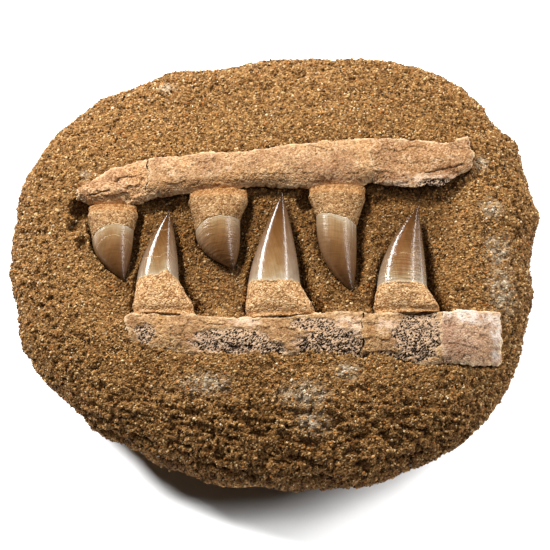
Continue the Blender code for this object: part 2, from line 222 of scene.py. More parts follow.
@dataclass(frozen=True)
class JawStrip:
    """One jaw's strip of bone: its edges in plan and how it stands out of the rock."""

    stations: tuple[Point, ...]
    crest: float
    lip_drop: float
    flat_from: float = 1.0
    flat_share: float = 0.25
    end_lift: float = 0.0030
    end_lift_start: float = 0.080
    end_lift_fade: float = 0.022
    edge_roundness: float = 3.0

    def edges(self, x: Array) -> tuple[Array, Array]:
        """The near and the far edge of the strip at each x."""
        places, near, far = zip(*self.stations)
        return np.interp(x, places, near), np.interp(x, places, far)

    def covers(self, x: Array, y: Array, margin: float = 0.0) -> Array:
        """Whether points lie over the strip, which is taken as wider by the margin."""
        near, far = self.edges(x)
        along = (x > self.stations[0][0] - margin) & (x < self.stations[-1][0] + margin)
        return along & (y > near - margin) & (y < far + margin)

    def top(self, rock: Rock, x: Array, across: Array) -> Array:
        """Height of the strip's outer face, with across from -1 at the near edge to 1 at the far one."""
        near, far = self.edges(x)
        y = 0.5 * (near + far) + 0.5 * (far - near) * across
        edge = np.abs(across) ** self.edge_roundness
        flat = 1.0 - (1.0 - self.flat_share) * smooth((x - self.flat_from) / self.end_lift_fade)
        drop = np.where(across < 0.0, self.lip_drop * edge, 0.0) * flat
        lift = self.end_lift * smooth((x - self.end_lift_start) / self.end_lift_fade)
        return rock.dome(x, y) + self.crest * (1.0 - edge) * flat - drop + lift


UPPER_JAW = JawStrip(
    stations=(
        (-0.1025, 0.0350, 0.0400), (-0.0970, 0.0315, 0.0440), (-0.0880, 0.0300, 0.0495),
        (-0.0700, 0.0305, 0.0550), (-0.0640, 0.0330, 0.0555), (-0.0390, 0.0360, 0.0580),
        (-0.0100, 0.0395, 0.0600), (0.0000, 0.0385, 0.0620), (0.0460, 0.0390, 0.0665),
        (0.0510, 0.0420, 0.0670), (0.0660, 0.0390, 0.0670), (0.0860, 0.0395, 0.0665),
        (0.0930, 0.0420, 0.0670), (0.1010, 0.0495, 0.0700), (0.1045, 0.0560, 0.0610),
    ),
    crest=0.0024,
    lip_drop=0.0030,
    flat_from=0.045,
)
LOWER_JAW = JawStrip(
    stations=(
        (-0.0760, -0.0405, -0.0345), (-0.0735, -0.0465, -0.0320), (-0.0620, -0.0510, -0.0320),
        (-0.0350, -0.0555, -0.0335), (-0.0230, -0.0550, -0.0350), (0.0080, -0.0555, -0.0345),
        (0.0210, -0.0540, -0.0320), (0.0460, -0.0570, -0.0315), (0.0510, -0.0545, -0.0320),
        (0.0760, -0.0595, -0.0315), (0.0860, -0.0580, -0.0300), (0.1040, -0.0575, -0.0290),
        (0.1140, -0.0560, -0.0275), (0.1170, -0.0530, -0.0280),
    ),
    crest=0.0014,
    lip_drop=0.0006,
)


@dataclass(frozen=True)
class ToothForm:
    """A tooth's named sizes. The gum is the line between its crown and its root, and along runs from -1 to 1."""

    name: str
    gum: tuple[float, float]
    gum_width: float
    crown: float
    tip_shift: float
    taper: float
    lean: float
    root: float
    root_width: float
    root_shift: float
    arch: float
    pointing: int
    arch_peak: float = 0.0
    arch_power: float = 2.0
    gum_tilt: float = 0.0
    cracks: tuple[tuple[float, float], ...] = ()
    notch: Point = (0.0, 0.0, 1.0)
    crown_depth_share: float = 0.80
    root_depth_share: float = 0.46
    root_squareness: float = 0.72
    root_flare: float = 1.35
    root_collar: float = 0.0005
    root_end_rounding: float = 0.10
    growth: float = 0.3
    flank_share: float = 1.0
    veins: tuple[Point, ...] = ()
    below_dome: float = 0.0055
    tip_lift: float = 0.25
    foot_thinning: float = 0.05

    def axis(self, along: Array) -> tuple[Array, Array]:
        """Plan place of the tooth's middle line."""
        ahead, back = np.clip(along, 0.0, None), np.clip(-along, 0.0, None)
        x = self.gum[0] + self.tip_shift * np.minimum(ahead, 1.0) ** self.lean + self.root_shift * back
        y = self.gum[1] + self.pointing * (self.crown * ahead - self.root * back)
        return x, y

    def half_width(self, along: Array) -> Array:
        """Half the tooth's width in plan."""
        ahead, back = np.clip(along, 0.0, 1.0), np.clip(-along, 0.0, 1.0)
        crown = self.gum_width / 2.0 * (1.0 - ahead**self.taper)
        flare = (self.root_width - self.gum_width) / 2.0 * back**self.root_flare
        rounding = 1.0 - self.root_end_rounding * smooth((back - 0.75) / 0.25)
        collar = self.root_collar * (0.2 + 0.8 * smooth(back / 0.15))
        root = (self.gum_width / 2.0 + flare + collar) * rounding
        return np.where(along >= 0.0, crown, root)

    def half_depth(self, along: Array) -> Array:
        """Half the tooth's thickness out of the rock."""
        back = np.clip(-along, 0.0, 1.0)
        share = self.crown_depth_share + (self.root_depth_share - self.crown_depth_share) * back
        thinning = 1.0 - self.foot_thinning * smooth((back - 0.90) / 0.10)
        return self.half_width(along) * share * thinning

    def sunk(self, along: Array) -> Array:
        """How far the middle line lies below the undug rock: less towards the tip, which keeps the back level."""
        lift = self.half_depth(0.0 * along) - self.half_depth(along)
        return self.below_dome - self.tip_lift * np.where(along > 0.0, lift, 0.0)

    def along_at(self, y: Array) -> Array:
        """Where along the tooth a plan y lies."""
        ahead = self.pointing * (y - self.gum[1])
        return np.where(ahead >= 0.0, ahead / self.crown, ahead / self.root)

    def gum_line(self, side: Array) -> Array:
        """How far the gum line bends from straight towards the root; side is -1 and 1 at the tooth's flanks."""
        ragged = 0.55 * MM * ripple(rows(side * 9.0 + self.gum[0] * 900.0, 0.0, 0.0), 1.6, 5.0, 3)
        place, depth, width = self.notch
        notch = -depth * np.exp(-(((side - place) / width) ** 2))
        away = np.abs(side - self.arch_peak) / (1.0 + abs(self.arch_peak))
        return self.arch * (1.0 - away**self.arch_power) + self.gum_tilt * side + ragged + notch


TEETH = (
    ToothForm(
        "lower_tooth_1", (-0.0604, -0.0130), 0.0217, 0.0390, 0.0058, 1.7, 1.6, 0.0176, 0.0340, 0.0034, 0.0, 1,
        cracks=((0.68, 0.01), (0.30, -0.02)), notch=(0.42, 0.0030, 0.26), growth=0.25, root_depth_share=0.40,
    ),
    ToothForm(
        "lower_tooth_2", (-0.0002, -0.0158), 0.0271, 0.0515, 0.0043, 1.45, 1.5, 0.0172, 0.0380, 0.0038, 0.0016, 1,
        growth=0.2, root_depth_share=0.40,
    ),
    ToothForm(
        "lower_tooth_3", (0.0660, -0.0170), 0.0260, 0.0463, 0.0088, 1.75, 2.0, 0.0130, 0.0365, 0.0027, 0.0, 1,
        cracks=((0.15, -0.02), (0.24, 0.13)), growth=1.1, root_depth_share=0.40,
        veins=((-0.08, 0.05, 0.34), (0.16, 0.10, 0.42), (-0.30, 0.25, 0.75)),
    ),
    ToothForm(
        "upper_tooth_1", (-0.0840, 0.0122), 0.0214, 0.0241, 0.0062, 2.1, 2.2, 0.0155, 0.0268, -0.0002, 0.0050, -1,
        arch_peak=0.35, arch_power=3.0, cracks=((0.33, -0.10),), growth=0.35, flank_share=0.25,
    ),
    ToothForm(
        "upper_tooth_2", (-0.0295, 0.0150), 0.0230, 0.0221, 0.0080, 2.5, 2.0, 0.0197, 0.0325, 0.0002, 0.0060, -1,
        arch_peak=0.55, arch_power=2.6, cracks=((0.20, -0.16),), growth=0.75, flank_share=0.55,
    ),
    ToothForm(
        "upper_tooth_3", (0.0321, 0.0196), 0.0208, 0.0388, 0.0082, 2.9, 2.6, 0.0172, 0.0313, 0.0005, 0.0020, -1,
        arch_peak=-0.3, arch_power=4.0, gum_tilt=-0.0022, growth=0.35, flank_share=0.45,
    ),
)


@dataclass(frozen=True)
class Ground:
    """The dug face: the dome, less the hollow between the jaws, the grooves round the teeth and the seams."""

    rock: Rock = Rock()
    hollow_at_upper_jaw: float = 0.0085
    hollow_at_lower_jaw: float = 0.0040
    hollow_front: float = -0.100
    hollow_rear: float = 0.104
    hollow_fade: float = 0.022
    hollow_edge: float = 0.24
    hollow_top: float = 1.18
    pit_softness: float = 0.45
    pits: tuple[tuple[Patch, float], ...] = (
        ((-0.1000, 0.0290, 0.0055, 0.0055), 0.0105), ((-0.1045, 0.0200, 0.0030, 0.0036), 0.0055),
        ((-0.1000, 0.0085, 0.0024, 0.0036), 0.0050), ((0.0165, 0.0330, 0.0050, 0.0060), 0.0150),
        ((-0.0580, 0.0305, 0.0100, 0.0030), 0.0110), ((0.0560, 0.0330, 0.0060, 0.0045), 0.0110),
    )
    socket_depth: float = 0.0035
    groove_front: float = 0.0012
    groove_rear: float = 0.0056
    groove_depth_share: float = 0.80
    groove_least: float = 0.7 * MM
    groove_past_tip: float = 1.06
    groove_past_root: float = 1.10
    groove_fade: float = 0.06
    slot_width: float = 0.0034
    slot_depth_share: float = 1.15
    seam_depth: float = 0.0016
    seam_width: float = 0.0019
    seam_lap: float = 0.0024
    bone_inset: float = 2.4 * MM
    tooth_inset: float = 0.4 * MM

    def hollow(self, x: Array, y: Array) -> Array:
        """How deep the rock between the jaws is dug away."""
        below, above = LOWER_JAW.edges(x)[1], UPPER_JAW.edges(x)[0]
        across = (y - below) / (above - below)
        edge = self.hollow_edge
        inside = smooth((across + edge / 2.0) / edge) * smooth((self.hollow_top - across) / edge)
        front = smooth((x - self.hollow_front) / self.hollow_fade)
        rear = smooth((self.hollow_rear - x) / self.hollow_fade)
        rise = self.hollow_at_upper_jaw - self.hollow_at_lower_jaw
        depth = (self.hollow_at_lower_jaw + rise * smooth(across)) * inside * front * rear
        for patch, pit_depth in self.pits:
            depth = np.maximum(depth, pit_depth * patch_share(x, y, (patch,), self.pit_softness))
        return depth

    def groove(self, tooth: ToothForm, x: Array, y: Array) -> Array:
        """How deep the rock is dug away round one tooth, wider on the side towards the rear of the jaw."""
        along = tooth.along_at(y)
        held = np.clip(along, -1.0, 1.0)
        middle = tooth.axis(held)[0] + (self.groove_rear - self.groove_front) / 2.0
        reach = np.maximum(tooth.half_width(held), self.groove_least) + (self.groove_rear + self.groove_front) / 2.0
        across = np.clip(np.abs(x - middle) / reach, 0.0, 1.0)
        bowl = self.groove_depth_share * tooth.half_depth(held) * np.sqrt(1.0 - across**2)
        fade = self.groove_fade
        ends = smooth((self.groove_past_tip - along) / fade) * smooth((along + self.groove_past_root) / fade)
        flank = x - tooth.axis(held)[0] - tooth.half_width(held)
        beside = smooth((flank + 1.5 * MM) / MM) * smooth((self.slot_width - flank) / (1.2 * MM))
        slot = self.slot_depth_share * tooth.half_depth(held) * beside
        bowl = np.maximum(bowl, slot)
        return np.where(across < 1.0, tooth.sunk(held) + bowl, 0.0) * ends

    def seam(self, jaw: JawStrip, x: Array, y: Array) -> Array:
        """How deep the rock is dug away along a strip of bone and, under it, to let it in."""
        near, far = jaw.edges(x)
        outside = np.maximum(near - y, y - far)
        outside = np.maximum(outside, np.maximum(jaw.stations[0][0] - x, x - jaw.stations[-1][0]))
        places = rows(x, y, 0.0)
        patchy = np.clip(0.15 + 1.3 * ripple(places, 9.0 * MM, 12.0, 2), -0.55, 1.0)
        lap = self.seam_lap * np.clip(0.5 + 1.2 * ripple(places, 3.5 * MM, 13.0, 2), 0.0, 1.0)
        seam = self.seam_depth * patchy * (1.0 - smooth(outside / self.seam_width))
        return np.where(outside > -lap, seam, self.socket_depth)

    def height(self, x: Array, y: Array) -> Array:
        """Height of the dug face, before its lumps."""
        grooves = [self.groove(tooth, x, y) for tooth in TEETH]
        seams = [self.seam(jaw, x, y) for jaw in (UPPER_JAW, LOWER_JAW)]
        hollow = self.hollow(x, y) + np.maximum.reduce(seams)
        return self.rock.dome(x, y) - np.maximum.reduce([hollow, *grooves])

    def covered(self, x: Array, y: Array) -> Array:
        """1 where bone or tooth covers the rock, and 0 elsewhere."""
        over = UPPER_JAW.covers(x, y, -self.bone_inset) | LOWER_JAW.covers(x, y, -self.bone_inset)
        for tooth in TEETH:
            along = tooth.along_at(y)
            middle, half = tooth.axis(along)[0], tooth.half_width(along)
            over |= (np.abs(along) < 1.0) & (np.abs(x - middle) < half - self.tooth_inset)
        return over.astype(float)


GROUND = Ground()


def skirted_grid(columns: int, rows: int, rings: int) -> bmesh.types.BMesh:
    """A square grid from -1 to 1 with a skirt hanging from its rim, closed below.

    Args:
        columns: Cells along X.
        rows: Cells along Y.
        rings: Rows of cells in the skirt, each one unit high.

    Returns:
        A closed bmesh: the grid lies at z = 0 and ring k of the skirt at z = -k.
    """
    bm = bmesh.new()
    bmesh.ops.create_grid(bm, x_segments=columns, y_segments=rows, size=1.0)
    rim = [edge for edge in bm.edges if edge.is_boundary]
    for _ in range(rings):
        made = bmesh.ops.extrude_edge_only(bm, edges=rim)["geom"]
        fresh = [item for item in made if isinstance(item, bmesh.types.BMVert)]
        bmesh.ops.translate(bm, verts=fresh, vec=(0.0, 0.0, -1.0))
        rim = [item for item in made if isinstance(item, bmesh.types.BMEdge) and item.is_boundary]
    bmesh.ops.edgeloop_fill(bm, edges=rim)
    bmesh.ops.recalc_face_normals(bm, faces=bm.faces)
    return bm


def tube_grid(sides: int, rings: int) -> bmesh.types.BMesh:
    """A closed unit tube along Z from 0 to 1, with rings and a centre point in each end."""
    bm = bmesh.new()
    bmesh.ops.create_cone(bm, cap_ends=True, segments=sides, radius1=1.0, radius2=1.0, depth=1.0)
    bmesh.ops.translate(bm, verts=bm.verts, vec=(0.0, 0.0, 0.5))
    rails = [e for e in bm.edges if abs(e.verts[0].co.z - e.verts[1].co.z) > 0.5]
    bmesh.ops.subdivide_edges(bm, edges=rails, cuts=rings - 1, use_grid_fill=True)
    caps = [face for face in bm.faces if len(face.verts) == sides]
    bmesh.ops.poke(bm, faces=caps)
    return bm


def mesh_of(name: str, bm: bmesh.types.BMesh) -> bpy.types.Mesh:
    """Turns a bmesh into a mesh and frees it."""
    mesh = bpy.data.meshes.new(name)
    bm.to_mesh(mesh)
    bm.free()
    return mesh


def vectors(data: bpy.types.bpy_prop_collection, key: str) -> Array:
    """Reads a vector, under this key, from each item of a mesh's data."""
    flat = np.empty(len(data) * 3, np.float32)
    data.foreach_get(key, flat)
    return flat.reshape(-1, 3).astype(np.float64)


def points_of(mesh: bpy.types.Mesh) -> Array:
    """The mesh's points, one row for each."""
    return vectors(mesh.vertices, "co")


def normals_of(mesh: bpy.types.Mesh) -> Array:
    """The mesh's normal at each point."""
    return vectors(mesh.vertex_normals, "vector")


def move_points(mesh: bpy.types.Mesh, points: Array) -> None:
    """Puts the mesh's points in new places."""
    mesh.vertices.foreach_set("co", points.astype(np.float32).ravel())
    mesh.update()


def store(mesh: bpy.types.Mesh, name: str, values: Array) -> None:
    """Keeps a number, or a vector, for each point of the mesh, for its material to read."""
    vector = values.ndim == 2
    layer = mesh.attributes.new(name, "FLOAT_VECTOR" if vector else "FLOAT", "POINT")
    layer.data.foreach_set("vector" if vector else "value", values.astype(np.float32).ravel())


def face_outwards(mesh: bpy.types.Mesh) -> None:
    """Turns every face of a closed mesh outwards."""
    bm = bmesh.new()
    bm.from_mesh(mesh)
    bmesh.ops.recalc_face_normals(bm, faces=bm.faces)
    if bm.calc_volume(signed=True) < 0.0:
        bmesh.ops.reverse_faces(bm, faces=bm.faces)
    bm.to_mesh(mesh)
    bm.free()


@dataclass
class Dresser:
    """Puts finished meshes into the scene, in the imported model's frame."""

    shift: Vector

    @classmethod
    def fit(cls) -> "Dresser":
        """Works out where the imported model's frame lies from two of its nodes."""
        tooth = TEETH[1]
        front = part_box("upper_jaw_front")[0].x - UPPER_JAW.stations[0][0]
        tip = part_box("lower_tooth_2_crown")[1].y - (tooth.gum[1] + tooth.crown)
        return cls(Vector((front, tip, 0.0)))

    def place(
        self, mesh: bpy.types.Mesh, material: bpy.types.Material, slot: Slot, nodes: tuple[str, ...] = ()
    ) -> bpy.types.Object:
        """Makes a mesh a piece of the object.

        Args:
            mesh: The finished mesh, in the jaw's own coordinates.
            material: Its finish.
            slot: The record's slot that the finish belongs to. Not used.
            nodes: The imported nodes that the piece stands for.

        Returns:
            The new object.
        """
        points = points_of(mesh) + np.array(self.shift)
        points[:, 2] = np.maximum(points[:, 2], 0.0)
        move_points(mesh, points)
        mesh.materials.clear()
        mesh.materials.append(material)
        mesh.shade_smooth()
        piece = bpy.data.objects.new(mesh.name, mesh)
        bpy.context.scene.collection.objects.link(piece)
        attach(piece, "root")
        if nodes:
            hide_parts(*nodes)
        mesh.calc_loop_triangles()
        log.info("%s: %d triangles", piece.name, len(mesh.loop_triangles))
        return piece


def feed(tree: bpy.types.NodeTree, node: bpy.types.Node, inputs: dict) -> None:
    """Gives a node's inputs, by name or number, a socket to link to or a value."""
    for name, value in inputs.items():
        if isinstance(value, Socket):
            tree.links.new(value, node.inputs[name])
        else:
            node.inputs[name].default_value = value


def add(
    tree: bpy.types.NodeTree, kind: str, settings: dict | None = None, inputs: dict | None = None
) -> bpy.types.Node:
    """Adds a node to a tree.

    Args:
        tree: The node tree.
        kind: The node's type.
        settings: Values for the node's own properties.
        inputs: For each input, by name or number, a socket to link it to or a value to set on it.

    Returns:
        The node.
    """
    node = tree.nodes.new(kind)
    for name, value in (settings or {}).items():
        setattr(node, name, value)
    feed(tree, node, inputs or {})
    return node


def scaled(tree: bpy.types.NodeTree, vector: Socket, factor: Socket | float) -> Socket:
    """A vector or a colour times a number."""
    return add(tree, "ShaderNodeVectorMath", {"operation": "SCALE"}, {0: vector, "Scale": factor}).outputs["Vector"]


@dataclass(frozen=True)
class Finish:
    """A material in the making, with a short way to each kind of node."""

    material: bpy.types.Material

    @classmethod
    def new(cls, name: str) -> "Finish":
        """Starts a material with this name."""
        material = bpy.data.materials.new(name)
        material.use_nodes = True
        return cls(material)

    @property
    def tree(self) -> bpy.types.NodeTree:
        """The material's nodes."""
        return self.material.node_tree

    @property
    def shader(self) -> bpy.types.Node:
        """The material's shader."""
        return self.tree.nodes["Principled BSDF"]

    def place(self) -> Socket:
        """The point on the piece."""
        return add(self.tree, "ShaderNodeTexCoord").outputs["Object"]

    def stored(self, name: str, output: str = "Fac") -> Socket:
        """What each point of the piece carries under a name."""
        return add(self.tree, "ShaderNodeAttribute", {"attribute_name": name}).outputs[output]

    def noise(
        self, place: Socket, scale: float, detail: float, roughness: float = 0.5, output: str = "Fac"
    ) -> Socket:
        """Cloudy noise, with this many swells a metre."""
        inputs = {"Vector": place, "Scale": scale, "Detail": detail, "Roughness": roughness}
        return add(self.tree, "ShaderNodeTexNoise", inputs=inputs).outputs[output]

    def grains(self, place: Socket, scale: float) -> tuple[Socket, Socket]:
        """A random number for each of the cells of a mosaic, and the distance to the cell's middle."""
        cells = add(self.tree, "ShaderNodeTexVoronoi", inputs={"Vector": place, "Scale": scale})
        speck = add(self.tree, "ShaderNodeSeparateColor", inputs={"Color": cells.outputs["Color"]})
        return speck.outputs["Red"], cells.outputs["Distance"]

    def maths(self, operation: str, *values: Socket | float) -> Socket:
        """One sum on numbers."""
        return add(self.tree, "ShaderNodeMath", {"operation": operation}, dict(enumerate(values))).outputs["Value"]

    def stretch(self, place: Socket, scale: Point) -> Socket:
        """A place with each axis scaled."""
        return add(self.tree, "ShaderNodeMapping", inputs={"Vector": place, "Scale": scale}).outputs["Vector"]

    def remap(self, value: Socket, low: float, high: float, new_low: float = 0.0, new_high: float = 1.0) -> Socket:
        """Takes a value from one range to another and holds it there."""
        inputs = {"Value": value, "From Min": low, "From Max": high, "To Min": new_low, "To Max": new_high}
        return add(self.tree, "ShaderNodeMapRange", inputs=inputs).outputs["Result"]

    def blend(self, share: Socket | float, first: Socket, second: Socket) -> Socket:
        """A number between two numbers."""
        inputs = {"Factor": share, "A": first, "B": second}
        return add(self.tree, "ShaderNodeMix", {"data_type": "FLOAT"}, inputs).outputs["Result"]

    def cover(self, share: Socket | float, under: Socket, over: Socket | str, way: str = "MIX") -> Socket:
        """Lays a colour, from a socket or a hex code, over another one.

        Args:
            share: How much of it shows.
            under: The colour below.
            over: The colour above.
            way: Blender's name for how they join.

        Returns:
            The colour.
        """
        over = linear(over) if isinstance(over, str) else over
        settings = {"data_type": "RGBA", "blend_type": way}
        return add(self.tree, "ShaderNodeMix", settings, {"Factor": share, "A": under, "B": over}).outputs["Result"]

    def ramp(self, value: Socket, stops: Stops, constant: bool = False) -> Socket:
        """Turns a value from 0 to 1 into a colour by stops, which it jumps between where constant."""
        node = add(self.tree, "ShaderNodeValToRGB", inputs={"Fac": value})
        band = node.color_ramp
        band.interpolation = "CONSTANT" if constant else "LINEAR"
        while len(band.elements) < len(stops):
            band.elements.new(0.5)
        for element, (place, code) in zip(band.elements, stops):
            element.position = place
            element.color = linear(code)
        return node.outputs["Color"]

    def relief(self, height: Socket, depth: float, strength: float = 1.0, invert: bool = False) -> None:
        """Gives the surface a fine relief, this many metres deep."""
        inputs = {"Height": height, "Strength": strength, "Distance": depth}
        bump = add(self.tree, "ShaderNodeBump", {"invert": invert}, inputs)
        feed(self.tree, self.shader, {"Normal": bump.outputs["Normal"]})

    def close(self, colour: Socket, values: dict[str, Socket | float]) -> bpy.types.Material:
        """Gives the shader its colour and, by name, its other inputs, and hands the material over."""
        feed(self.tree, self.shader, {"Base Color": colour, **values})
        return self.material


@dataclass(frozen=True)
class SandstoneFinish:
    """Phosphate sandstone, scraped bare with a point: loose bonded sand, matt, dark between the grains."""

    stops: Stops = ((0.0, "382411"), (0.30, "5D4022"), (0.55, "866137"), (0.80, "A57B4A"), (1.0, "C29A69"))
    crust: str = "A8957A"
    # Painted shade: the tint multiplied in where the rock is dug deep or pitted.
    recess_shade: str = "8A775E"
    grain_size: float = 0.9 * MM
    cloud_size: float = 22.0 * MM
    cloud_share: float = 0.35
    relief: float = 0.45 * MM

    def build(self) -> bpy.types.Material:
        """Makes the material."""
        finish = Finish.new("phosphate_sandstone_scraped")
        place = finish.place()
        speck, distance = finish.grains(place, 1.0 / self.grain_size)
        cloud = finish.noise(place, 1.0 / self.cloud_size, 4.0, 0.6)
        colour = finish.ramp(finish.blend(self.cloud_share, speck, cloud), self.stops)
        # Painted shade: darker in the dug hollow, the grooves round the teeth and the pits.
        colour = finish.cover(finish.stored("dug"), colour, self.recess_shade, "MULTIPLY")
        colour = finish.cover(finish.stored("crust"), colour, self.crust)
        finish.relief(distance, self.relief, invert=True)
        return finish.close(colour, {"Roughness": 0.95, "Specular IOR Level": 0.25})


@dataclass(frozen=True)
class GrainFinish:
    """Grains of phosphate sand: each its own tan, brown, amber or grey, worn matt, with a few that glint."""

    stops: Stops = (
        (0.00, "33210F"), (0.05, "634422"), (0.18, "875F33"), (0.38, "A67B49"), (0.60, "BC9058"),
        (0.76, "AE7038"), (0.83, "CDAA76"), (0.965, "DDC49A"), (0.993, "E9DCC4"),
    )
    crust: str = "CFC0A8"
    # Painted shade: the tint multiplied into grains that lie in the dug hollow, the grooves and the pits.
    recess_shade: str = "A8977E"
    matt: float = 0.9
    glint: float = 0.45
    crust_pull: float = 1.1
    crust_span: tuple[float, float] = (1.0, 1.7)
    glint_span: tuple[float, float] = (1.0, 1.15)

    def build(self) -> bpy.types.Material:
        """Makes the material. Grains in a pale crust turn pale by lot, and the brightest shades glint."""
        finish = Finish.new("phosphate_sand_grains")
        colour = finish.ramp(finish.stored("tone"), self.stops, constant=True)
        colour = finish.cover(1.0, colour, finish.stored("shade", "Color"), "MULTIPLY")
        # Painted shade: darker for grains in the dug hollow, the grooves and the pits.
        colour = finish.cover(finish.stored("dug"), colour, self.recess_shade, "MULTIPLY")
        picked = finish.maths("MULTIPLY_ADD", finish.stored("crust"), self.crust_pull, finish.stored("lot"))
        colour = finish.cover(finish.remap(picked, *self.crust_span), colour, self.crust)
        rough = finish.remap(finish.stored("shade"), *self.glint_span, self.matt, self.glint)
        return finish.close(colour, {"Roughness": rough, "Specular IOR Level": 0.35})


@dataclass(frozen=True)
class BoneFinish:
    """Fossil jaw bone, brushed clean: dense outer bone, grainy and matt, and open spongy bone full of pores."""

    name: str
    stops: Stops
    tints: Stops = ((0.30, "FFF5E6"), (0.48, "FCFDFF"), (0.62, "E4DCDA"), (0.75, "CEC6C8"))
    stain: str = "8A6038"
    pale: str = "D4B69A"
    rim: str = "E2C59C"
    # Painted shade, near black, in the pores, the pits and the cracks.
    hole: str = "20130A"
    cloud_size: float = 17.0 * MM
    mottle_size: float = 6.0 * MM
    grain_size: float = 0.72 * MM
    grain_share: float = 0.45
    relief: float = 0.36 * MM
    pore_width: float = 0.74 * MM
    pore_length: float = 1.35 * MM
    pore_slant: float = math.radians(38.0)
    pore_bend: float = 1.3
    pore_bend_scale: float = 1.3
    pore_crowding: tuple[float, float] = (0.9, 0.55)
    pore_reach: tuple[float, float] = (0.64, -0.16)
    pore_edge: float = 0.12
    pore_depth: float = 1.6

    def pores(self, finish: Finish, place: Socket) -> Socket:
        """How much of each place is an open pore; they are long, slanting and ragged.

        Args:
            finish: The material.
            place: The point on the piece.

        Returns:
            The share of the place that is a hole.
        """
        size, turn = (self.pore_length, self.pore_width, self.pore_length), (0.0, 0.0, self.pore_slant)
        slanting = add(
            finish.tree, "ShaderNodeMapping", {"vector_type": "TEXTURE"},
            {"Vector": place, "Rotation": turn, "Scale": size},
        ).outputs["Vector"]
        bend = finish.noise(slanting, self.pore_bend_scale, 2.0, output="Color")
        bent = add(
            finish.tree, "ShaderNodeVectorMath", {"operation": "MULTIPLY_ADD"},
            {0: bend, 1: (self.pore_bend,) * 3, 2: slanting},
        ).outputs["Vector"]
        distance = finish.grains(bent, 1.0)[1]
        crowd = finish.noise(place, 0.5 / self.pore_length, 2.0)
        crowding = finish.maths("MULTIPLY_ADD", crowd, *self.pore_crowding)
        spread = finish.maths("MULTIPLY", finish.stored("spongy"), crowding)
        reach = finish.maths("MULTIPLY_ADD", spread, *self.pore_reach)
        return finish.remap(finish.maths("SUBTRACT", reach, distance), 0.0, self.pore_edge)

    def build(self) -> bpy.types.Material:
        """Makes the material."""
        finish = Finish.new(self.name)
        place = finish.place()
        mottle = finish.noise(place, 1.0 / self.mottle_size, 5.0, 0.6)
        speck, distance = finish.grains(place, 1.0 / self.grain_size)
        colour = finish.ramp(finish.blend(self.grain_share, mottle, speck), self.stops)
        cloud = finish.noise(place, 1.0 / self.cloud_size, 6.0)
        colour = finish.cover(1.0, colour, finish.ramp(cloud, self.tints), "MULTIPLY")
        holes = self.pores(finish, place)
        # Stains, pale rims and pale flakes, then painted shade in the pits and cracks.
        for layer, code in (("stain", self.stain), ("rim", self.rim), ("pale", self.pale), ("hole", self.hole)):
            colour = finish.cover(finish.stored(layer), colour, code)
        # Painted shade in the open pores.
        colour = finish.cover(holes, colour, self.hole)
        lumps = finish.maths("MULTIPLY_ADD", distance, -1.0, mottle)
        finish.relief(finish.maths("MULTIPLY_ADD", holes, -self.pore_depth, lumps), self.relief)
        return finish.close(colour, {"Roughness": 0.78, "Specular IOR Level": 0.3})


@dataclass(frozen=True)
class RootFinish:
    """Tooth root cement, brushed clean: chalky and fine-grained, with sand still stuck in it."""

    name: str = "tooth_root_cement_lower"
    stops: Stops = ((0.14, "4E3018"), (0.32, "94673C"), (0.50, "BB8F61"), (0.68, "D3AC7C"), (0.86, "EDD3AD"))
    rust: str = "B4763C"
    grain_size: float = 0.8 * MM
    cloud_size: float = 4.0 * MM
    grain_share: float = 0.5
    relief: float = 0.48 * MM

    def build(self) -> bpy.types.Material:
        """Makes the material."""
        finish = Finish.new(self.name)
        place = finish.place()
        speck, distance = finish.grains(place, 1.0 / self.grain_size)
        cloud = finish.noise(place, 1.0 / self.cloud_size, 4.0, 0.6)
        colour = finish.ramp(finish.blend(self.grain_share, cloud, speck), self.stops)
        colour = finish.cover(finish.stored("rust"), colour, self.rust)
        finish.relief(distance, self.relief, invert=True)
        return finish.close(colour, {"Roughness": 0.85, "Specular IOR Level": 0.3})


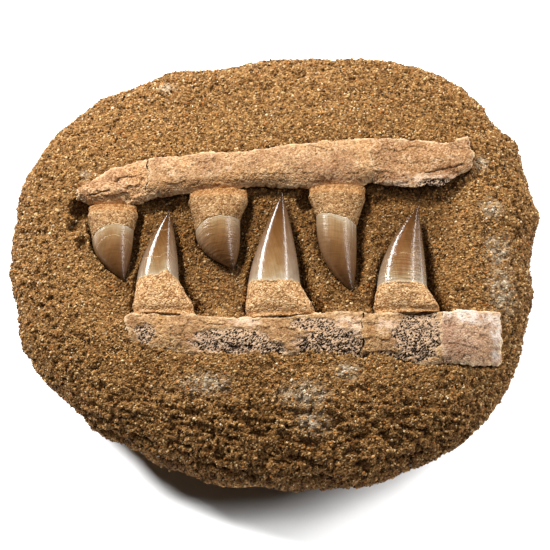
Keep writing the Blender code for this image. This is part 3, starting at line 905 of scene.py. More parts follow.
@dataclass(frozen=True)
class EnamelFinish:
    """Fossil tooth enamel, naturally polished: glossy, pale at gum and flanks, amber brown at heart and tip.

    Its patterns are laid out in millimetres on the crown: X round it and Y along it.
    """

    name: str = "tooth_enamel_polished"
    roughness: float = 0.18
    index: float = 1.62
    coat: float = 0.4
    coat_roughness: float = 0.09
    heart: Stops = (
        (0.00, "A4937B"), (0.08, "987E5B"), (0.22, "84633E"), (0.42, "6E4B28"), (0.70, "563618"), (1.00, "36210F"),
    )
    flank: Stops = ((0.00, "A2917C"), (0.12, "917B65"), (0.40, "7C634C"), (0.75, "634730"), (1.00, "402818"))
    light_crack: str = "C2A277"
    collar: str = "C0A784"
    vein: str = "74492A"
    crack_width: float = 0.15
    crack_wander: float = 1.6
    crack_wander_scale: float = 0.7
    crack_strength: float = 0.8
    streak_width: float = 0.9
    streak_stretch: Point = (1.0, 0.05, 1.0)
    streak_span: tuple[float, float, float, float] = (0.3, 0.7, 0.86, 1.13)
    tone_wander: float = 0.22
    tone_scale: float = 0.14
    collar_fringe_scale: float = 0.9
    collar_steepness: float = 14.0
    collar_span: tuple[float, float] = (0.05, 0.30)
    growth_stretch: Point = (0.10, 1.0, 1.0)
    growth_scale: float = 0.85
    growth_relief: float = 9.0
    relief: float = 0.12 * MM
    relief_strength: float = 0.6

    def colour(self, finish: Finish, place: Socket, streak: Socket, line: Socket) -> Socket:
        """The enamel's colour.

        Args:
            finish: The material.
            place: The point on the crown.
            streak: Fine streaks along the crown.
            line: Where the cracks are.

        Returns:
            The colour.
        """
        along = finish.stored("along")
        cloud = finish.noise(place, self.tone_scale, 4.0, 0.6)
        wander = finish.remap(cloud, 0.0, 1.0, -self.tone_wander, self.tone_wander)
        tone = finish.maths("ADD", along, wander)
        ground = finish.cover(
            finish.stored("flank"), finish.ramp(tone, self.heart), finish.ramp(tone, self.flank)
        )
        tint = finish.remap(streak, *self.streak_span)
        colour = finish.cover(line, scaled(finish.tree, ground, tint), self.light_crack)
        colour = finish.cover(finish.maths("MULTIPLY", finish.stored("vein"), tint), colour, self.vein)
        fringe = finish.noise(place, self.collar_fringe_scale, 4.0)
        near_gum = finish.maths("MULTIPLY_ADD", along, -self.collar_steepness, fringe)
        return finish.cover(finish.remap(near_gum, *self.collar_span), colour, self.collar)

    def build(self) -> bpy.types.Material:
        """Makes the material."""
        finish = Finish.new(self.name)
        place = finish.stored("enamel_place", "Vector")
        streak = finish.noise(finish.stretch(place, self.streak_stretch), 1.0 / self.streak_width, 3.0)
        wobble = finish.noise(place, self.crack_wander_scale, 3.0)
        bent = finish.maths("MULTIPLY_ADD", wobble, self.crack_wander, finish.stored("crack"))
        centred = finish.maths("SUBTRACT", bent, self.crack_wander / 2.0)
        line = finish.remap(finish.maths("ABSOLUTE", centred), self.crack_width, 0.0, 0.0, self.crack_strength)
        growth = finish.noise(finish.stretch(place, self.growth_stretch), self.growth_scale, 2.0)
        steps = finish.maths("MULTIPLY", growth, finish.stored("growth"))
        ribs = finish.maths("MULTIPLY_ADD", steps, self.growth_relief, streak)
        finish.relief(finish.maths("SUBTRACT", ribs, line), self.relief, self.relief_strength)
        values = {
            "Roughness": self.roughness, "IOR": self.index,
            "Coat Weight": self.coat, "Coat Roughness": self.coat_roughness,
        }
        return finish.close(self.colour(finish, place, streak, line), values)


@dataclass
class Block:
    """The rock itself: one closed piece, rough all over, dug out between the jaws."""

    columns: int = 296
    rows: int = 262
    belly_shares: tuple[float, ...] = (0.988, 0.966, 0.935, 0.895, 0.85, 0.80, 0.745, 0.69, 0.635, 0.575)
    crusts: tuple[Patch, ...] = (
        (0.1180, -0.0150, 0.0065, 0.0120), (0.1160, 0.0080, 0.0060, 0.0070), (0.1130, 0.0300, 0.0050, 0.0050),
        (0.1080, 0.0560, 0.0040, 0.0040), (0.0380, -0.0640, 0.0060, 0.0040), (0.0150, -0.0760, 0.0110, 0.0060),
        (-0.0570, 0.1010, 0.0040, 0.0030), (-0.0990, 0.0480, 0.0025, 0.0025), (-0.0350, -0.0700, 0.0110, 0.0050),
        (0.0200, -0.0900, 0.0070, 0.0050),
    )
    inset: float = 0.35 * MM
    rough: float = 0.60 * MM
    rough_size: float = 9.0 * MM
    fine: float = 0.65 * MM
    fine_size: float = 3.0 * MM
    pit: float = 1.6 * MM
    pit_size: float = 4.2 * MM
    hole: float = 1.5 * MM
    hole_size: float = 2.3 * MM
    ridge: float = 1.5 * MM
    ridge_size: float = 3.3 * MM
    front_from: float = -0.058
    front_fade: float = 0.035
    calm_from: float = 14.0 * MM
    foot_fade: float = 3.0 * MM
    foot_clearance: float = 0.15 * MM
    top_from: float = 18.0 * MM
    crust_from: float = 20.0 * MM
    covered_from: float = 30.0 * MM
    side_sand: float = 0.28
    # Painted shade on the dug face and its grains: the depth at which it is full, and its strength there and in the
    # pits.
    dug_depth: float = 9.0 * MM
    dug_shade: float = 0.6
    pit_shade: float = 0.9

    def shape(self, mesh: bpy.types.Mesh) -> None:
        """Moves a skirted grid's points to the block's plain skin."""
        place = points_of(mesh)
        s, t = place[:, 0], place[:, 1]
        x, y = s * np.sqrt(1.0 - t * t / 2.0), t * np.sqrt(1.0 - s * s / 2.0)
        angle = np.arctan2(y, x)
        ring = np.rint(-place[:, 2]).astype(int)
        top = ring == 0
        shares = np.array((1.0, *self.belly_shares))
        share = np.where(top, np.clip(np.hypot(x, y), 0.0, 1.0), shares[ring])
        share = np.where(top, share * (1.0 + 0.16 * (1.0 - share**2)), share)
        radius = share * GROUND.rock.radius(angle)
        x, y = radius * np.cos(angle), radius * np.sin(angle)
        z = np.where(top, GROUND.height(x, y), GROUND.rock.belly(share))
        move_points(mesh, GROUND.rock.lumpy(x, y, z))

    def roughen(self, mesh: bpy.types.Mesh) -> Array:
        """Pushes the skin in and out: broad lumps, grit, pits and, on the front slope, worn ledges.

        Args:
            mesh: The block's plain skin.

        Returns:
            How far each point lies in a small pit.
        """
        points, normals = points_of(mesh), normals_of(mesh)
        front = smooth((self.front_from - points[:, 1]) / self.front_fade)
        sides = smooth((GROUND.rock.share(points[:, 0], points[:, 1]) - 0.72) / 0.2)
        calm = 0.35 + 0.65 * smooth((points[:, 2] - self.calm_from) / self.calm_from)
        coarse = np.clip(0.30 + 0.7 * np.maximum(front, 0.75 * sides), 0.0, 1.0) * calm
        pits = smooth((ripple(points, self.pit_size, 4.0, 2) - 0.26) / 0.22)
        holes = smooth((ripple(points, self.hole_size, 9.0, 2) - 0.22) / 0.20)
        layers = rows(points[:, 0] / 3.6, points[:, 1] + 0.25 * points[:, 0], 0.8 * points[:, 2])
        ledges = np.clip(ripple(layers, self.ridge_size, 6.0, 2), -0.40, 0.25) * calm
        push = self.rough * ripple(points, self.rough_size, 2.0, 2) - self.inset
        push += self.fine * ripple(points, self.fine_size, 3.0, 2) * (0.6 + 0.7 * coarse)
        push -= self.pit * pits * coarse
        push -= self.hole * holes * coarse
        push += self.ridge * ledges * (0.10 + 1.25 * front)
        foot = smooth(points[:, 2] / self.foot_fade)
        points += normals * (push * foot)[:, None]
        flat = points_of(mesh)[:, 2] <= 0.0
        points[:, 2] = np.where(flat, 0.0, np.maximum(points[:, 2], self.foot_clearance))
        move_points(mesh, points)
        # Where the painted shade goes: in the holes and under the worn ledges of the front slope.
        return np.maximum(holes, 0.8 * smooth((-ledges - 0.12) / 0.2) * front) * coarse

    def mark(self, mesh: bpy.types.Mesh, pitted: Array) -> None:
        """Stores where the pale crust lies, the painted shade that darkens the rock in the dug hollow, the grooves,
        the pits and under the ledges, and how thickly grains cover the skin.

        Args:
            mesh: The block's finished skin.
            pitted: How far each point lies in a small pit.
        """
        points = points_of(mesh)
        x, y = points[:, 0], points[:, 1]
        blotch = smooth((ripple(points, 2.6 * MM, 8.0, 3) + 0.25) / 0.5)
        crust = patch_share(x, y, self.crusts, 0.8) * (0.25 + 0.75 * blotch)
        store(mesh, "crust", np.where(points[:, 2] > self.crust_from, crust, 0.0))
        top = points[:, 2] > self.top_from
        over = GROUND.covered(x, y) * (points[:, 2] > self.covered_from)
        share = np.where(top, 1.0, self.side_sand) * (1.0 - over) * (1.0 - 0.55 * pitted)
        store(mesh, "sandy", np.where(points[:, 2] < 1.0 * MM, 0.0, share))
        depth = GROUND.rock.dome(x, y) - points[:, 2] - self.inset
        # Painted shade: darker the deeper the face lies below the undug dome, and in the pits and under the ledges.
        painted_shade = np.maximum(self.dug_shade * smooth(depth / self.dug_depth), self.pit_shade * pitted)
        store(mesh, "dug", np.where(top, painted_shade, 0.0))

    def build(self, dresser: Dresser) -> bpy.types.Object:
        """Makes the block and places it."""
        mesh = mesh_of("matrix_block_skin", skirted_grid(self.columns, self.rows, len(self.belly_shares)))
        self.shape(mesh)
        self.mark(mesh, self.roughen(mesh))
        face_outwards(mesh)
        return dresser.place(mesh, SandstoneFinish().build(), Slot.SANDSTONE, ("matrix_block",))


def draw(tree: bpy.types.NodeTree, low: float | Point, high: float | Point, seed: int) -> Socket:
    """A random number from low to high for each grain, or three of them where low and high are vectors."""
    kind, first, output = ("FLOAT_VECTOR", 0, 0) if isinstance(low, tuple) else ("FLOAT", 2, 1)
    inputs = {first: low, first + 1: high, "Seed": seed}
    return add(tree, "FunctionNodeRandomValue", {"data_type": kind}, inputs).outputs[output]


def keep(tree: bpy.types.NodeTree, points: Socket, name: str, value: Socket, kind: str = "FLOAT") -> Socket:
    """Stores a value on each point under a name and passes the points on."""
    inputs = {"Geometry": points, "Name": name, "Value": value}
    settings = {"data_type": kind, "domain": "POINT"}
    return add(tree, "GeometryNodeStoreNamedAttribute", settings, inputs).outputs["Geometry"]


@dataclass
class GrainLayer:
    """A scatter of loose sand grains over the block's skin, joined into one mesh."""

    name: str
    smallest: float
    largest: float
    seed: int
    per_square_metre: float = 105_000.0
    shades: tuple[float, float] = (0.62, 1.16)
    least_form: Point = (0.85, 0.60, 0.55)
    most_form: Point = (1.55, 1.05, 1.0)
    least_turn: Point = (-0.7, -0.7, 0.2)
    most_turn: Point = (0.7, 0.7, 1.3)
    dent: float = 0.9
    unwrap_top: float = 0.34
    unwrap_belly: float = 0.33
    patch: float = 0.003

    def tree(self) -> bpy.types.NodeTree:
        """Geometry nodes that scatter, size, colour and dent the grains."""
        tree = bpy.data.node_groups.new(self.name + "_scatter", "GeometryNodeTree")
        for way in ("INPUT", "OUTPUT"):
            tree.interface.new_socket("Geometry", in_out=way, socket_type="NodeSocketGeometry")
        skin = add(tree, "NodeGroupInput").outputs["Geometry"]
        sandy = add(tree, "GeometryNodeInputNamedAttribute", {"data_type": "FLOAT"}, {"Name": "sandy"})
        density = add(
            tree, "ShaderNodeMath", {"operation": "MULTIPLY"},
            {0: sandy.outputs["Attribute"], 1: self.per_square_metre},
        )
        seats = add(
            tree, "GeometryNodeDistributePointsOnFaces", {"distribute_method": "RANDOM"},
            {"Mesh": skin, "Density": density.outputs["Value"], "Seed": self.seed},
        ).outputs["Points"]
        seats = keep(tree, seats, "seat", add(tree, "GeometryNodeInputPosition").outputs["Position"], "FLOAT_VECTOR")
        for name, (low, high), offset in (("tone", (0.0, 1.0), 1), ("shade", self.shades, 2), ("lot", (0.0, 1.0), 6)):
            seats = keep(tree, seats, name, draw(tree, low, high, self.seed + offset))
        size = draw(tree, self.smallest, self.largest, self.seed + 3)
        form = draw(tree, self.least_form, self.most_form, self.seed + 4)
        turn = draw(tree, self.least_turn, self.most_turn, self.seed + 5)
        pebble = add(tree, "GeometryNodeMeshIcoSphere", inputs={"Radius": 0.5, "Subdivisions": 1}).outputs["Mesh"]
        grains = add(
            tree, "GeometryNodeInstanceOnPoints",
            inputs={"Points": seats, "Instance": pebble, "Rotation": turn, "Scale": scaled(tree, form, size)},
        ).outputs["Instances"]
        real = add(tree, "GeometryNodeRealizeInstances", inputs={"Geometry": grains}).outputs["Geometry"]
        dents = add(tree, "ShaderNodeTexNoise", inputs={"Scale": 1.1 / self.largest, "Detail": 1.0}).outputs["Color"]
        centred = add(tree, "ShaderNodeVectorMath", {"operation": "SUBTRACT"}, {0: dents, 1: (0.5, 0.5, 0.5)})
        push = scaled(tree, centred.outputs["Vector"], self.dent * self.largest)
        dented = add(tree, "GeometryNodeSetPosition", inputs={"Geometry": real, "Offset": push})
        add(tree, "NodeGroupOutput", inputs={"Geometry": dented.outputs["Geometry"]})
        return tree

    def unwrap(self, mesh: bpy.types.Mesh, shift: Vector) -> None:
        """Lays each grain's faces out as a small patch at its place on the block's own unwrap.

        Args:
            mesh: The grains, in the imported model's frame.
            shift: From the jaw's own coordinates to that frame.
        """
        seats = vectors(mesh.attributes["seat"].data, "vector")
        around = points_of(mesh) - seats
        x, y = seats[:, 0] - shift.x, seats[:, 1] - shift.y
        share = np.clip(GROUND.rock.share(x, y), 0.0, 1.0)
        below = seats[:, 2] < GROUND.rock.rim_height
        reach = np.where(below, self.unwrap_top + self.unwrap_belly * (1.0 - share), self.unwrap_top * share)
        angle = np.arctan2(y, x)
        middle = 0.5 + np.stack([reach * np.cos(angle), reach * np.sin(angle)], axis=1)
        places = middle + around[:, :2] / (2.0 * np.abs(around).max()) * self.patch
        corners = np.empty(len(mesh.loops), np.int32)
        mesh.loops.foreach_get("vertex_index", corners)
        layer = mesh.uv_layers.new(name="OFBake")
        layer.data.foreach_set("uv", places[corners].astype(np.float32).ravel())

    def build(self, block: bpy.types.Object) -> bpy.types.Mesh:
        """Scatters the grains on the placed block.

        Args:
            block: The block's skin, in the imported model's frame.

        Returns:
            All the grains as one mesh, in the same frame.
        """
        sower = bpy.data.objects.new(self.name + "_sower", block.data.copy())
        bpy.context.scene.collection.objects.link(sower)
        sower.modifiers.new("Scatter", "NODES").node_group = self.tree()
        depsgraph = bpy.context.evaluated_depsgraph_get()
        mesh = bpy.data.meshes.new_from_object(
            sower.evaluated_get(depsgraph), preserve_all_data_layers=True, depsgraph=depsgraph
        )
        bpy.data.objects.remove(sower)
        mesh.name = self.name
        return mesh


@dataclass
class SandCover:
    """All loose grains on the block, coarse to fine."""

    layers: tuple[GrainLayer, ...] = (
        GrainLayer("sand_coarse", 1.0 * MM, 1.7 * MM, 11),
        GrainLayer("sand_medium_1", 0.8 * MM, 1.4 * MM, 21),
        GrainLayer("sand_medium_2", 0.8 * MM, 1.4 * MM, 31),
        GrainLayer("sand_medium_3", 0.8 * MM, 1.4 * MM, 41),
        GrainLayer("sand_medium_4", 0.6 * MM, 1.1 * MM, 51),
        GrainLayer("sand_fine_1", 0.55 * MM, 1.0 * MM, 61),
        GrainLayer("sand_fine_2", 0.55 * MM, 1.0 * MM, 71),
    )

    def build(self, block: bpy.types.Object, dresser: Dresser) -> None:
        """Makes every layer and places it."""
        material = GrainFinish().build()
        for layer in self.layers:
            mesh = layer.build(block)
            layer.unwrap(mesh, dresser.shift)
            move_points(mesh, points_of(mesh) - np.array(dresser.shift))
            dresser.place(mesh, material, Slot.SANDSTONE)


@dataclass
class BonePiece:
    """One length of jaw bone, with its pores, cracks, flakes and stains."""

    node: str
    jaw: JawStrip
    start: float
    end: float
    finish: BoneFinish
    pores: tuple[Patch, ...] = ()
    pales: tuple[Patch, ...] = ()
    stains: tuple[Patch, ...] = ()
    cracks: tuple[tuple[float, float, float, float], ...] = ()
    crack_width: float = 0.75 * MM
    crack_depth: float = 1.1 * MM
    crack_wander: float = 0.9 * MM
    rough: float = 0.25 * MM
    rough_size: float = 1.8 * MM
    flake: float = 0.35 * MM
    flake_size: float = 7.0 * MM
    seed: float = 1.0
    cell: float = 0.36 * MM
    rings: int = 6
    depth: float = 9.0 * MM
    spongy_depth: float = 0.7 * MM
    ragged: float = 0.6 * MM
    broken: tuple[bool, bool] = (True, True)
    break_wander: float = 2.2 * MM
    rim_share: float = 0.7
    undercut: float = 0.7
    pock: float = 0.35 * MM
    pock_size: float = 1.7 * MM
    bulge: float = 0.75 * MM
    bulge_size: float = 13.0 * MM
    edge_drop: float = 0.7 * MM
    edge_width: float = 1.1 * MM
    rim_width: float = 2.4 * MM
    break_setback: float = 0.9 * MM

    def shape(self, mesh: bpy.types.Mesh) -> None:
        """Moves a skirted grid's points to the bone's plain form, with ragged edges."""
        place = points_of(mesh)
        level = -place[:, 2] / self.rings
        x = self.start + (self.end - self.start) * (place[:, 0] + 1.0) / 2.0
        across = place[:, 1]
        near, far = self.jaw.edges(x)
        line = rows(x, np.sign(across) * 0.05, level * 4.0 * MM)
        ragged = self.ragged * ripple(line, 4.5 * MM, self.seed, 3) * np.abs(across) ** 6
        y = 0.5 * (near + far) + 0.5 * (far - near) * across + ragged * np.sign(across)
        share = (place[:, 0] + 1.0) / 2.0
        for at, weight in ((self.start, 1.0 - share), (self.end, share)):
            line = rows(at, y, level * 3.0 * MM)
            x = x + self.break_wander * ripple(line, 8.0 * MM, 2.0 + round(at / (2.0 * MM)), 4) * weight
        sunk = level * self.depth
        y += np.where(across < 0.0, np.minimum(self.undercut * sunk, 0.35 * (far - near)) * -across, 0.0)
        top = self.jaw.top(GROUND.rock, x, across)
        bottom = GROUND.rock.dome(x, 0.5 * (near + far)) - self.depth
        rim = 0.5 * (far - near) * (1.0 - np.abs(across))
        for broken, away in zip(self.broken, (share, 1.0 - share)):
            setback = self.break_setback if broken else 0.0
            rim = np.minimum(rim, away * (self.end - self.start) + setback)
        top -= self.edge_drop * (1.0 - smooth(rim / self.edge_width))
        pale = smooth((0.55 + ripple(rows(x, y, 0.0), 3.0 * MM, self.seed + 8.0, 3)) / 0.8)
        store(mesh, "rim", self.rim_share * pale * (1.0 - smooth(rim / self.rim_width)))
        move_points(mesh, rows(x, y, top + (bottom - top) * level))

    def weather(self, mesh: bpy.types.Mesh) -> None:
        """Opens the pores, cracks and flakes, and stores the stains for the finish."""
        points, normals = points_of(mesh), normals_of(mesh)
        x, y = points[:, 0], points[:, 1]
        plates = ripple(rows(x * 0.45, y, points[:, 2]), self.flake_size, self.seed + 2.0, 3)
        step = smooth((plates - 0.05) / 0.10) - 0.5
        push = self.flake * step + self.rough * ripple(points, self.rough_size, self.seed + 3.0, 2)
        push += self.bulge * ripple(points, self.bulge_size, self.seed + 4.0, 2)
        pocks = smooth((ripple(points, self.pock_size, self.seed + 9.0, 2) - 0.42) / 0.14)
        push -= self.pock * pocks
        # Painted shade in the pits, stored with that of the cracks.
        hole = 0.38 * pocks
        spongy = patch_share(x, y, self.pores, 0.30)
        edge = ripple(points, 3.2 * MM, self.seed + 5.0, 3)
        spongy = np.clip(smooth((spongy + 0.55 * edge - 0.25) / 0.5), 0.0, 1.0) * (spongy > 0.0)
        near, far = self.jaw.edges(x)
        spongy *= np.clip(1.16 - 0.22 * (y - near) / (far - near), 0.0, 1.2)
        push -= self.spongy_depth * spongy
        for start_x, start_y, end_x, end_y in self.cracks:
            run = np.array([end_x - start_x, end_y - start_y])
            share = np.clip(((x - start_x) * run[0] + (y - start_y) * run[1]) / (run @ run), 0.0, 1.0)
            wander = self.crack_wander * ripple(points, 4.0 * MM, self.seed + 6.0, 2)
            gap = np.hypot(x - start_x - share * run[0], y - start_y - share * run[1] + wander)
            depth = 1.0 - smooth(gap / self.crack_width)
            push -= self.crack_depth * depth
            hole = np.maximum(hole, 0.7 * depth)
        move_points(mesh, points + normals * push[:, None])
        blotch = np.clip(0.55 + 1.1 * ripple(points, 3.5 * MM, self.seed + 7.0, 3), 0.0, 1.0)
        pale = patch_share(x, y, self.pales, 0.4) * blotch
        store(mesh, "spongy", spongy)
        store(mesh, "pale", np.clip(np.maximum(pale, 0.5 * spongy), 0.0, 0.85))
        stain = patch_share(x, y, self.stains, 0.5) * blotch + 0.35 * smooth(-3.0 * step - 0.9)
        store(mesh, "stain", np.clip(0.75 * stain, 0.0, 0.6))
        # How much painted shade the pits and cracks take.
        store(mesh, "hole", np.clip(hole, 0.0, 0.95))

    def build(self, dresser: Dresser) -> bpy.types.Object:
        """Makes the bone and places it."""
        length, width = self.end - self.start, max(far - near for _, near, far in self.jaw.stations)
        grid = skirted_grid(round(length / self.cell), round(width / self.cell), self.rings)
        mesh = mesh_of(self.node + "_bone", grid)
        self.shape(mesh)
        self.weather(mesh)
        face_outwards(mesh)
        return dresser.place(mesh, self.finish.build(), Slot.BONE, (self.node,))


@dataclass
class Jaws:
    """Both strips of jaw bone, each in its three lengths."""

    upper_breaks: tuple[float, float] = (-0.0660, 0.0512)
    lower_breaks: tuple[float, float] = (0.0455, 0.0866)

    def pieces(self) -> list[BonePiece]:
        """The six lengths with what marks each."""
        warm = ((0.12, "6C492B"), (0.34, "9C744D"), (0.50, "B28B62"), (0.66, "C4A179"), (0.90, "E2C8A6"))
        tawny = ((0.12, "654326"), (0.34, "926D47"), (0.50, "AA8359"), (0.66, "BE9A6C"), (0.90, "DEC198"))
        tan = ((0.15, "603E24"), (0.34, "8A623E"), (0.50, "A27A54"), (0.66, "B8936B"), (0.88, "D9BE9F"))
        cream = ((0.15, "6C462A"), (0.34, "9C714A"), (0.50, "B68C62"), (0.66, "CBA57A"), (0.88, "E5CDAB"))
        pink = ((0.15, "785540"), (0.34, "A68265"), (0.50, "B99576"), (0.66, "C7A789"), (0.88, "DDC6AE"))
        upper_front, upper_rear = self.upper_breaks
        lower_front, lower_rear = self.lower_breaks
        return [
            BonePiece(
                "upper_jaw_front", UPPER_JAW, UPPER_JAW.stations[0][0], upper_front,
                BoneFinish("jaw_bone_flaked_front", cream),
                cracks=((-0.0830, 0.0420, -0.0700, 0.0450), (-0.0960, 0.0345, -0.0860, 0.0365)),
                rough=0.45 * MM, flake=1.0 * MM, seed=3.0, broken=(False, True),
            ),
            BonePiece(
                "upper_jaw_middle", UPPER_JAW, upper_front, upper_rear,
                BoneFinish("jaw_bone_worn_smooth", warm),
                # A darker band along the near edge, where the lip drops away from the light: painted shade over a
                # browner band of the bone.
                stains=((-0.0400, 0.0400, 0.0220, 0.0025),),
                pales=(
                    (-0.0535, 0.0445, 0.0013, 0.0011), (-0.0238, 0.0478, 0.0017, 0.0012),
                    (0.0170, 0.0640, 0.0060, 0.0016),
                ),
                cracks=((0.0180, 0.0620, 0.0260, 0.0595),),
                rough=0.22 * MM, flake=0.45 * MM, seed=3.0,
            ),
            BonePiece(
                "upper_jaw_rear", UPPER_JAW, upper_rear, UPPER_JAW.stations[-1][0],
                BoneFinish("jaw_bone_flaked_rear", tan),
                pores=((0.0860, 0.0415, 0.0120, 0.0026),),
                pales=((0.0850, 0.0430, 0.0180, 0.0034), (0.0640, 0.0405, 0.0080, 0.0020)),
                stains=((0.0590, 0.0600, 0.0030, 0.0030),),
                cracks=((0.0790, 0.0475, 0.0985, 0.0520), (0.0960, 0.0635, 0.0930, 0.0660)),
                rough=0.26 * MM, flake=0.6 * MM, seed=3.0, broken=(True, False),
            ),
            BonePiece(
                "lower_jaw_front", LOWER_JAW, LOWER_JAW.stations[0][0], lower_front,
                BoneFinish("jaw_bone_spongy_front", tawny),
                pores=(
                    (-0.0670, -0.0430, 0.0050, 0.0050), (-0.0230, -0.0480, 0.0200, 0.0070),
                    (-0.0020, -0.0525, 0.0080, 0.0035), (0.0290, -0.0500, 0.0190, 0.0080),
                    (0.0200, -0.0390, 0.0120, 0.0040),
                ),
                pales=((0.0380, -0.0400, 0.0080, 0.0055), (-0.0150, -0.0380, 0.0080, 0.0030)),
                rough=0.28 * MM, flake=0.6 * MM, seed=9.0, broken=(False, True),
            ),
            BonePiece(
                "lower_jaw_middle", LOWER_JAW, lower_front, lower_rear,
                BoneFinish("jaw_bone_spongy_middle", tawny),
                pores=((0.0740, -0.0430, 0.0125, 0.0155), (0.0560, -0.0565, 0.0110, 0.0035)),
                pales=((0.0580, -0.0400, 0.0050, 0.0045),),
                stains=((0.0490, -0.0440, 0.0030, 0.0045),),
                rough=0.28 * MM, flake=0.5 * MM, seed=9.0,
            ),
            BonePiece(
                "lower_jaw_rear", LOWER_JAW, lower_rear, LOWER_JAW.stations[-1][0],
                BoneFinish("jaw_bone_dense_rear", pink, pale="DACBBD"),
                pales=((0.1010, -0.0325, 0.0160, 0.0042), (0.1145, -0.0420, 0.0030, 0.0120)),
                rough=0.22 * MM, flake=0.5 * MM, seed=9.0, broken=(True, False), rim_share=0.9,
            ),
        ]

    def build(self, dresser: Dresser) -> None:
        """Makes the six lengths and places them."""
        for piece in self.pieces():
            piece.build(dresser)


@dataclass
class ToothPair:
    """A tooth as two pieces: its enamel crown and its root."""

    form: ToothForm
    sides: int = 96
    crown_rings: int = 72
    root_rings: int = 44
    seat_gap: float = 0.1 * MM
    lap: float = 0.5 * MM
    least_half: float = 0.25 * MM
    swell: float = 0.45 * MM
    grit: float = 0.30 * MM
    most_rust: float = 0.20

    def place(self, along: Array, angle: Array, reach: Array) -> Array:
        """Points of the tooth's skin, or inside it where reach is under 1."""
        form = self.form
        side = np.cos(angle) * reach
        x, y = form.axis(along)
        half_width = np.maximum(form.half_width(along), self.least_half)
        half_depth = np.maximum(form.half_depth(along), self.least_half)
        up = np.sin(angle)
        square = 1.0 + (form.root_squareness - 1.0) * smooth(np.clip(-along, 0.0, None) / 0.5)
        up = np.sign(up) * np.abs(up) ** square
        z = GROUND.rock.dome(x, y) - form.sunk(along) + half_depth * up * reach
        fade = smooth(1.0 - np.abs(along))
        y = y - form.pointing * form.gum_line(side) * fade
        return rows(x + half_width * side, y, z)

    def tube(self, name: str, rings: int) -> tuple[bpy.types.Mesh, Array, Array, Array]:
        """A new tube, and for each of its points the height, the angle and the share of the radius."""
        mesh = mesh_of(name, tube_grid(self.sides, rings))
        x, y, height = points_of(mesh).T
        return mesh, height, np.arctan2(y, x), np.minimum(np.hypot(x, y), 1.0)

    def crown(self, dresser: Dresser, material: bpy.types.Material) -> bpy.types.Object:
        """Makes the crown, with what its finish reads."""
        form = self.form
        mesh, height, angle, reach = self.tube(form.name + "_crown_enamel", self.crown_rings)
        along = 1.0 - (1.0 - height) ** 1.25
        move_points(mesh, self.place(along, angle, reach))
        face_outwards(mesh)
        side = np.cos(angle)
        nearest = np.full(len(along), 50.0)
        for place, bend in form.cracks:
            distance = (along - place - bend * (1.0 - side * side)) * form.crown / MM
            nearest = np.where(np.abs(distance) < np.abs(nearest), distance, nearest)
        arc = angle * form.half_width(along) / MM
        store(mesh, "along", along)
        store(mesh, "flank", form.flank_share * smooth((np.abs(side + 0.10) - 0.25) / 0.65))
        store(mesh, "growth", np.full(len(along), form.growth))
        vein = np.zeros_like(along)
        for place, start, end in form.veins:
            run = smooth((along - start) / 0.05) * smooth((end - along) / 0.10)
            vein = np.maximum(vein, run * np.exp(-(((side - place) / 0.10) ** 2)))
        store(mesh, "vein", 0.7 * vein * (np.sin(angle) > 0.0))
        store(mesh, "crack", nearest)
        store(mesh, "enamel_place", rows(arc + form.gum[0] / MM, along * form.crown / MM, 0.0))
        return dresser.place(mesh, material, Slot.ENAMEL, (form.name + "_crown",))

    def root(self, dresser: Dresser, material: bpy.types.Material) -> bpy.types.Object:
        """Makes the root, which ends against the jaw bone."""
        form = self.form
        mesh, height, angle, reach = self.tube(form.name + "_root_cement", self.root_rings)
        along = -1.12 * height
        points = self.place(np.minimum(along, -1e-6), angle, reach)
        points[:, 1] += form.pointing * self.lap * (1.0 - height) ** 8
        jaw, edge = (LOWER_JAW, 1) if form.pointing > 0 else (UPPER_JAW, 0)
        stop = form.pointing * jaw.edges(points[:, 0])[edge] + self.seat_gap
        points[:, 1] = form.pointing * np.maximum(form.pointing * points[:, 1], stop)
        move_points(mesh, points)
        face_outwards(mesh)
        swell = self.swell * ripple(points, 5.0 * MM, form.gum[0] * 100.0)
        grit = self.grit * ripple(points, 1.3 * MM, 2.0, 2)
        inner = smooth(-along / 0.05) * (reach > 0.5)
        move_points(mesh, points + normals_of(mesh) * ((swell + grit) * inner)[:, None])
        blotch = np.clip(0.3 + ripple(points, 2.4 * MM, 4.0, 2), 0.0, 1.0)
        rust = smooth((-along - 0.84) / 0.16) * (0.3 + blotch)
        store(mesh, "rust", np.clip(rust, 0.0, self.most_rust))
        return dresser.place(mesh, material, Slot.ROOT, (form.name + "_root",))


@dataclass
class Teeth:
    """All six teeth."""

    def build(self, dresser: Dresser) -> None:
        """Makes every crown and root and places them."""
        lower_enamel, lower_cement = EnamelFinish().build(), RootFinish().build()
        upper_enamel = EnamelFinish("tooth_enamel_worn", roughness=0.30, coat=0.15).build()
        upper_cement = RootFinish(
            "tooth_root_cement_upper",
            ((0.14, "3F2813"), (0.32, "78532F"), (0.50, "957048"), (0.68, "AB875D"), (0.86, "CBAE87")),
        ).build()
        for form in TEETH:
            lower = form.pointing > 0
            tooth = ToothPair(form, most_rust=0.20 if lower else 0.28)
            tooth.crown(dresser, lower_enamel if lower else upper_enamel)
            tooth.root(dresser, lower_cement if lower else upper_cement)


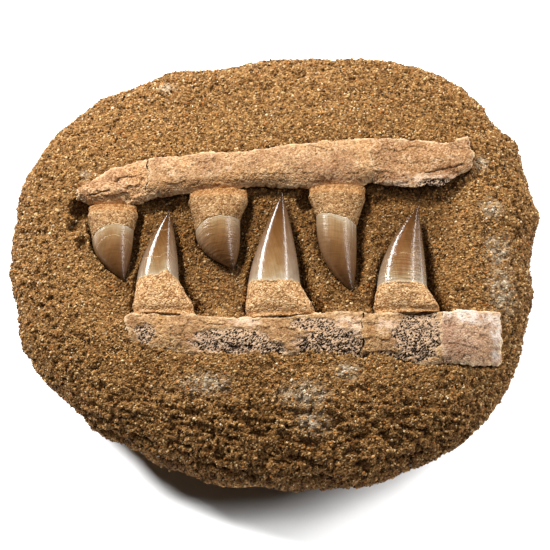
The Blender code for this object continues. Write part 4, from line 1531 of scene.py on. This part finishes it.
@dataclass(frozen=True)
class Lamp:
    """A rectangular lamp that points at the block. It is square unless its long side runs to a second direction."""

    name: str
    start: Point
    width: float
    power: float
    end: Point | None = None
    distance: float = 1.1
    mirrors: bool = True
    shines: bool = True
    lights: Lights = Lights.FOSSIL

    def build(self, floor: bpy.types.Object) -> None:
        """Hangs the lamp so that it runs from one direction, seen from the block, to the other.

        Args:
            floor: The floor, which has lamps to itself, so that its shadow stays small.
        """
        low, high = Vector(self.start).normalized(), Vector(self.end or self.start).normalized()
        away = (low + high).normalized()
        reach = (high / high.dot(away) - low / low.dot(away)) * self.distance
        length = max(reach.length, self.width)
        data = bpy.data.lights.new(self.name, "AREA")
        data.shape = "RECTANGLE"
        data.size, data.size_y = self.width, length
        data.energy = self.power
        lamp = bpy.data.objects.new(self.name, data)
        lamp.location = away * self.distance + Vector((0.0, 0.0, 0.03))
        along = reach.normalized() if reach.length > 0.0 else away.orthogonal().normalized()
        across = along.cross(away)
        lamp.rotation_euler = Matrix((across, along, away)).transposed().to_euler()
        lamp.visible_diffuse = self.shines
        lamp.visible_glossy = self.mirrors
        lit = bpy.data.collections.new(self.name + "_lights")
        lit.objects.link(floor)
        lit.collection_objects[0].light_linking.link_state = self.lights.value
        lamp.light_linking.receiver_collection = lit
        bpy.context.scene.collection.objects.link(lamp)


@dataclass
class Studio:
    """A pale sweep, three soft lamps, two strips that the enamel mirrors, two lamps for the floor, and the camera."""

    elevation: float = math.radians(68.0)
    distance: float = 3.0
    view_width: float = 0.2871
    aim: Point = (0.00026, -0.00056, 0.028)
    sensor: float = 36.0
    floor_size: float = 14.0
    paper: str = "A2A2A2"
    lamps: tuple[Lamp, ...] = (
        Lamp("key_light", (-0.46, 0.60, 0.66), 0.24, 22.5, mirrors=False),
        Lamp("rear_right_light", (0.80, 0.40, 0.45), 0.40, 9.6, mirrors=False),
        Lamp("left_strip", (-0.72, 0.42, 0.50), 0.17, 12.0, (-0.50, 0.86, 0.04), shines=False),
        Lamp("right_strip", (0.61, -0.27, 0.745), 0.055, 6.0, (0.44, 0.85, 0.29), shines=False),
        Lamp("overhead_light", (0.0, 0.0, 1.0), 1.2, 4.0, mirrors=False),
        Lamp(
            "floor_left_light", (-0.76, 0.45, 0.48), 0.34, 236.0, distance=1.6, mirrors=False, lights=Lights.FLOOR
        ),
        Lamp(
            "floor_right_light", (0.86, 0.22, 0.46), 1.00, 197.0, distance=1.6, mirrors=False, lights=Lights.FLOOR
        ),
    )
    fill: float = 0.045
    air: tuple[float, float, float, float] = (1.0, 0.95, 0.88, 1.0)

    def camera(self, shift: Vector) -> None:
        """Sets the camera at the photograph's angle."""
        data = bpy.data.cameras.new("camera")
        data.sensor_width = self.sensor
        data.lens = self.sensor * self.distance / self.view_width
        data.clip_end = 60.0
        camera = bpy.data.objects.new("camera", data)
        back = Vector((0.0, -math.cos(self.elevation), math.sin(self.elevation)))
        camera.location = Vector(self.aim) + shift + back * self.distance
        camera.rotation_euler = back.to_track_quat("Z", "Y").to_euler()
        bpy.context.scene.collection.objects.link(camera)
        bpy.context.scene.camera = camera

    def floor(self) -> bpy.types.Object:
        """Lays the floor, a sweep of pale matt paper, and gives it back."""
        bm = bmesh.new()
        bmesh.ops.create_grid(bm, x_segments=1, y_segments=1, size=self.floor_size / 2.0)
        mesh = mesh_of("floor", bm)
        paper = Finish.new("pale_paper_sweep")
        feed(paper.tree, paper.shader, {"Base Color": linear(self.paper), "Roughness": 0.9})
        mesh.materials.append(paper.material)
        floor = bpy.data.objects.new("floor", mesh)
        bpy.context.scene.collection.objects.link(floor)
        return floor

    def build(self, shift: Vector) -> None:
        """Sets up floor, light and camera."""
        scene = bpy.context.scene
        world = bpy.data.worlds.new("studio_air")
        world.use_nodes = True
        background = world.node_tree.nodes["Background"]
        feed(world.node_tree, background, {"Color": self.air, "Strength": self.fill})
        scene.world = world
        scene.view_settings.view_transform = "Standard"
        floor = self.floor()
        for lamp in self.lamps:
            lamp.build(floor)
        self.camera(shift)


def main() -> None:
    """Builds the whole scene in order."""
    logging.basicConfig(level=logging.INFO, format="%(message)s")
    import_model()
    dresser = Dresser.fit()
    Studio().build(dresser.shift)
    block = Block().build(dresser)
    SandCover().build(block, dresser)
    Jaws().build(dresser)
    Teeth().build(dresser)


if __name__ == "__main__":
    main()
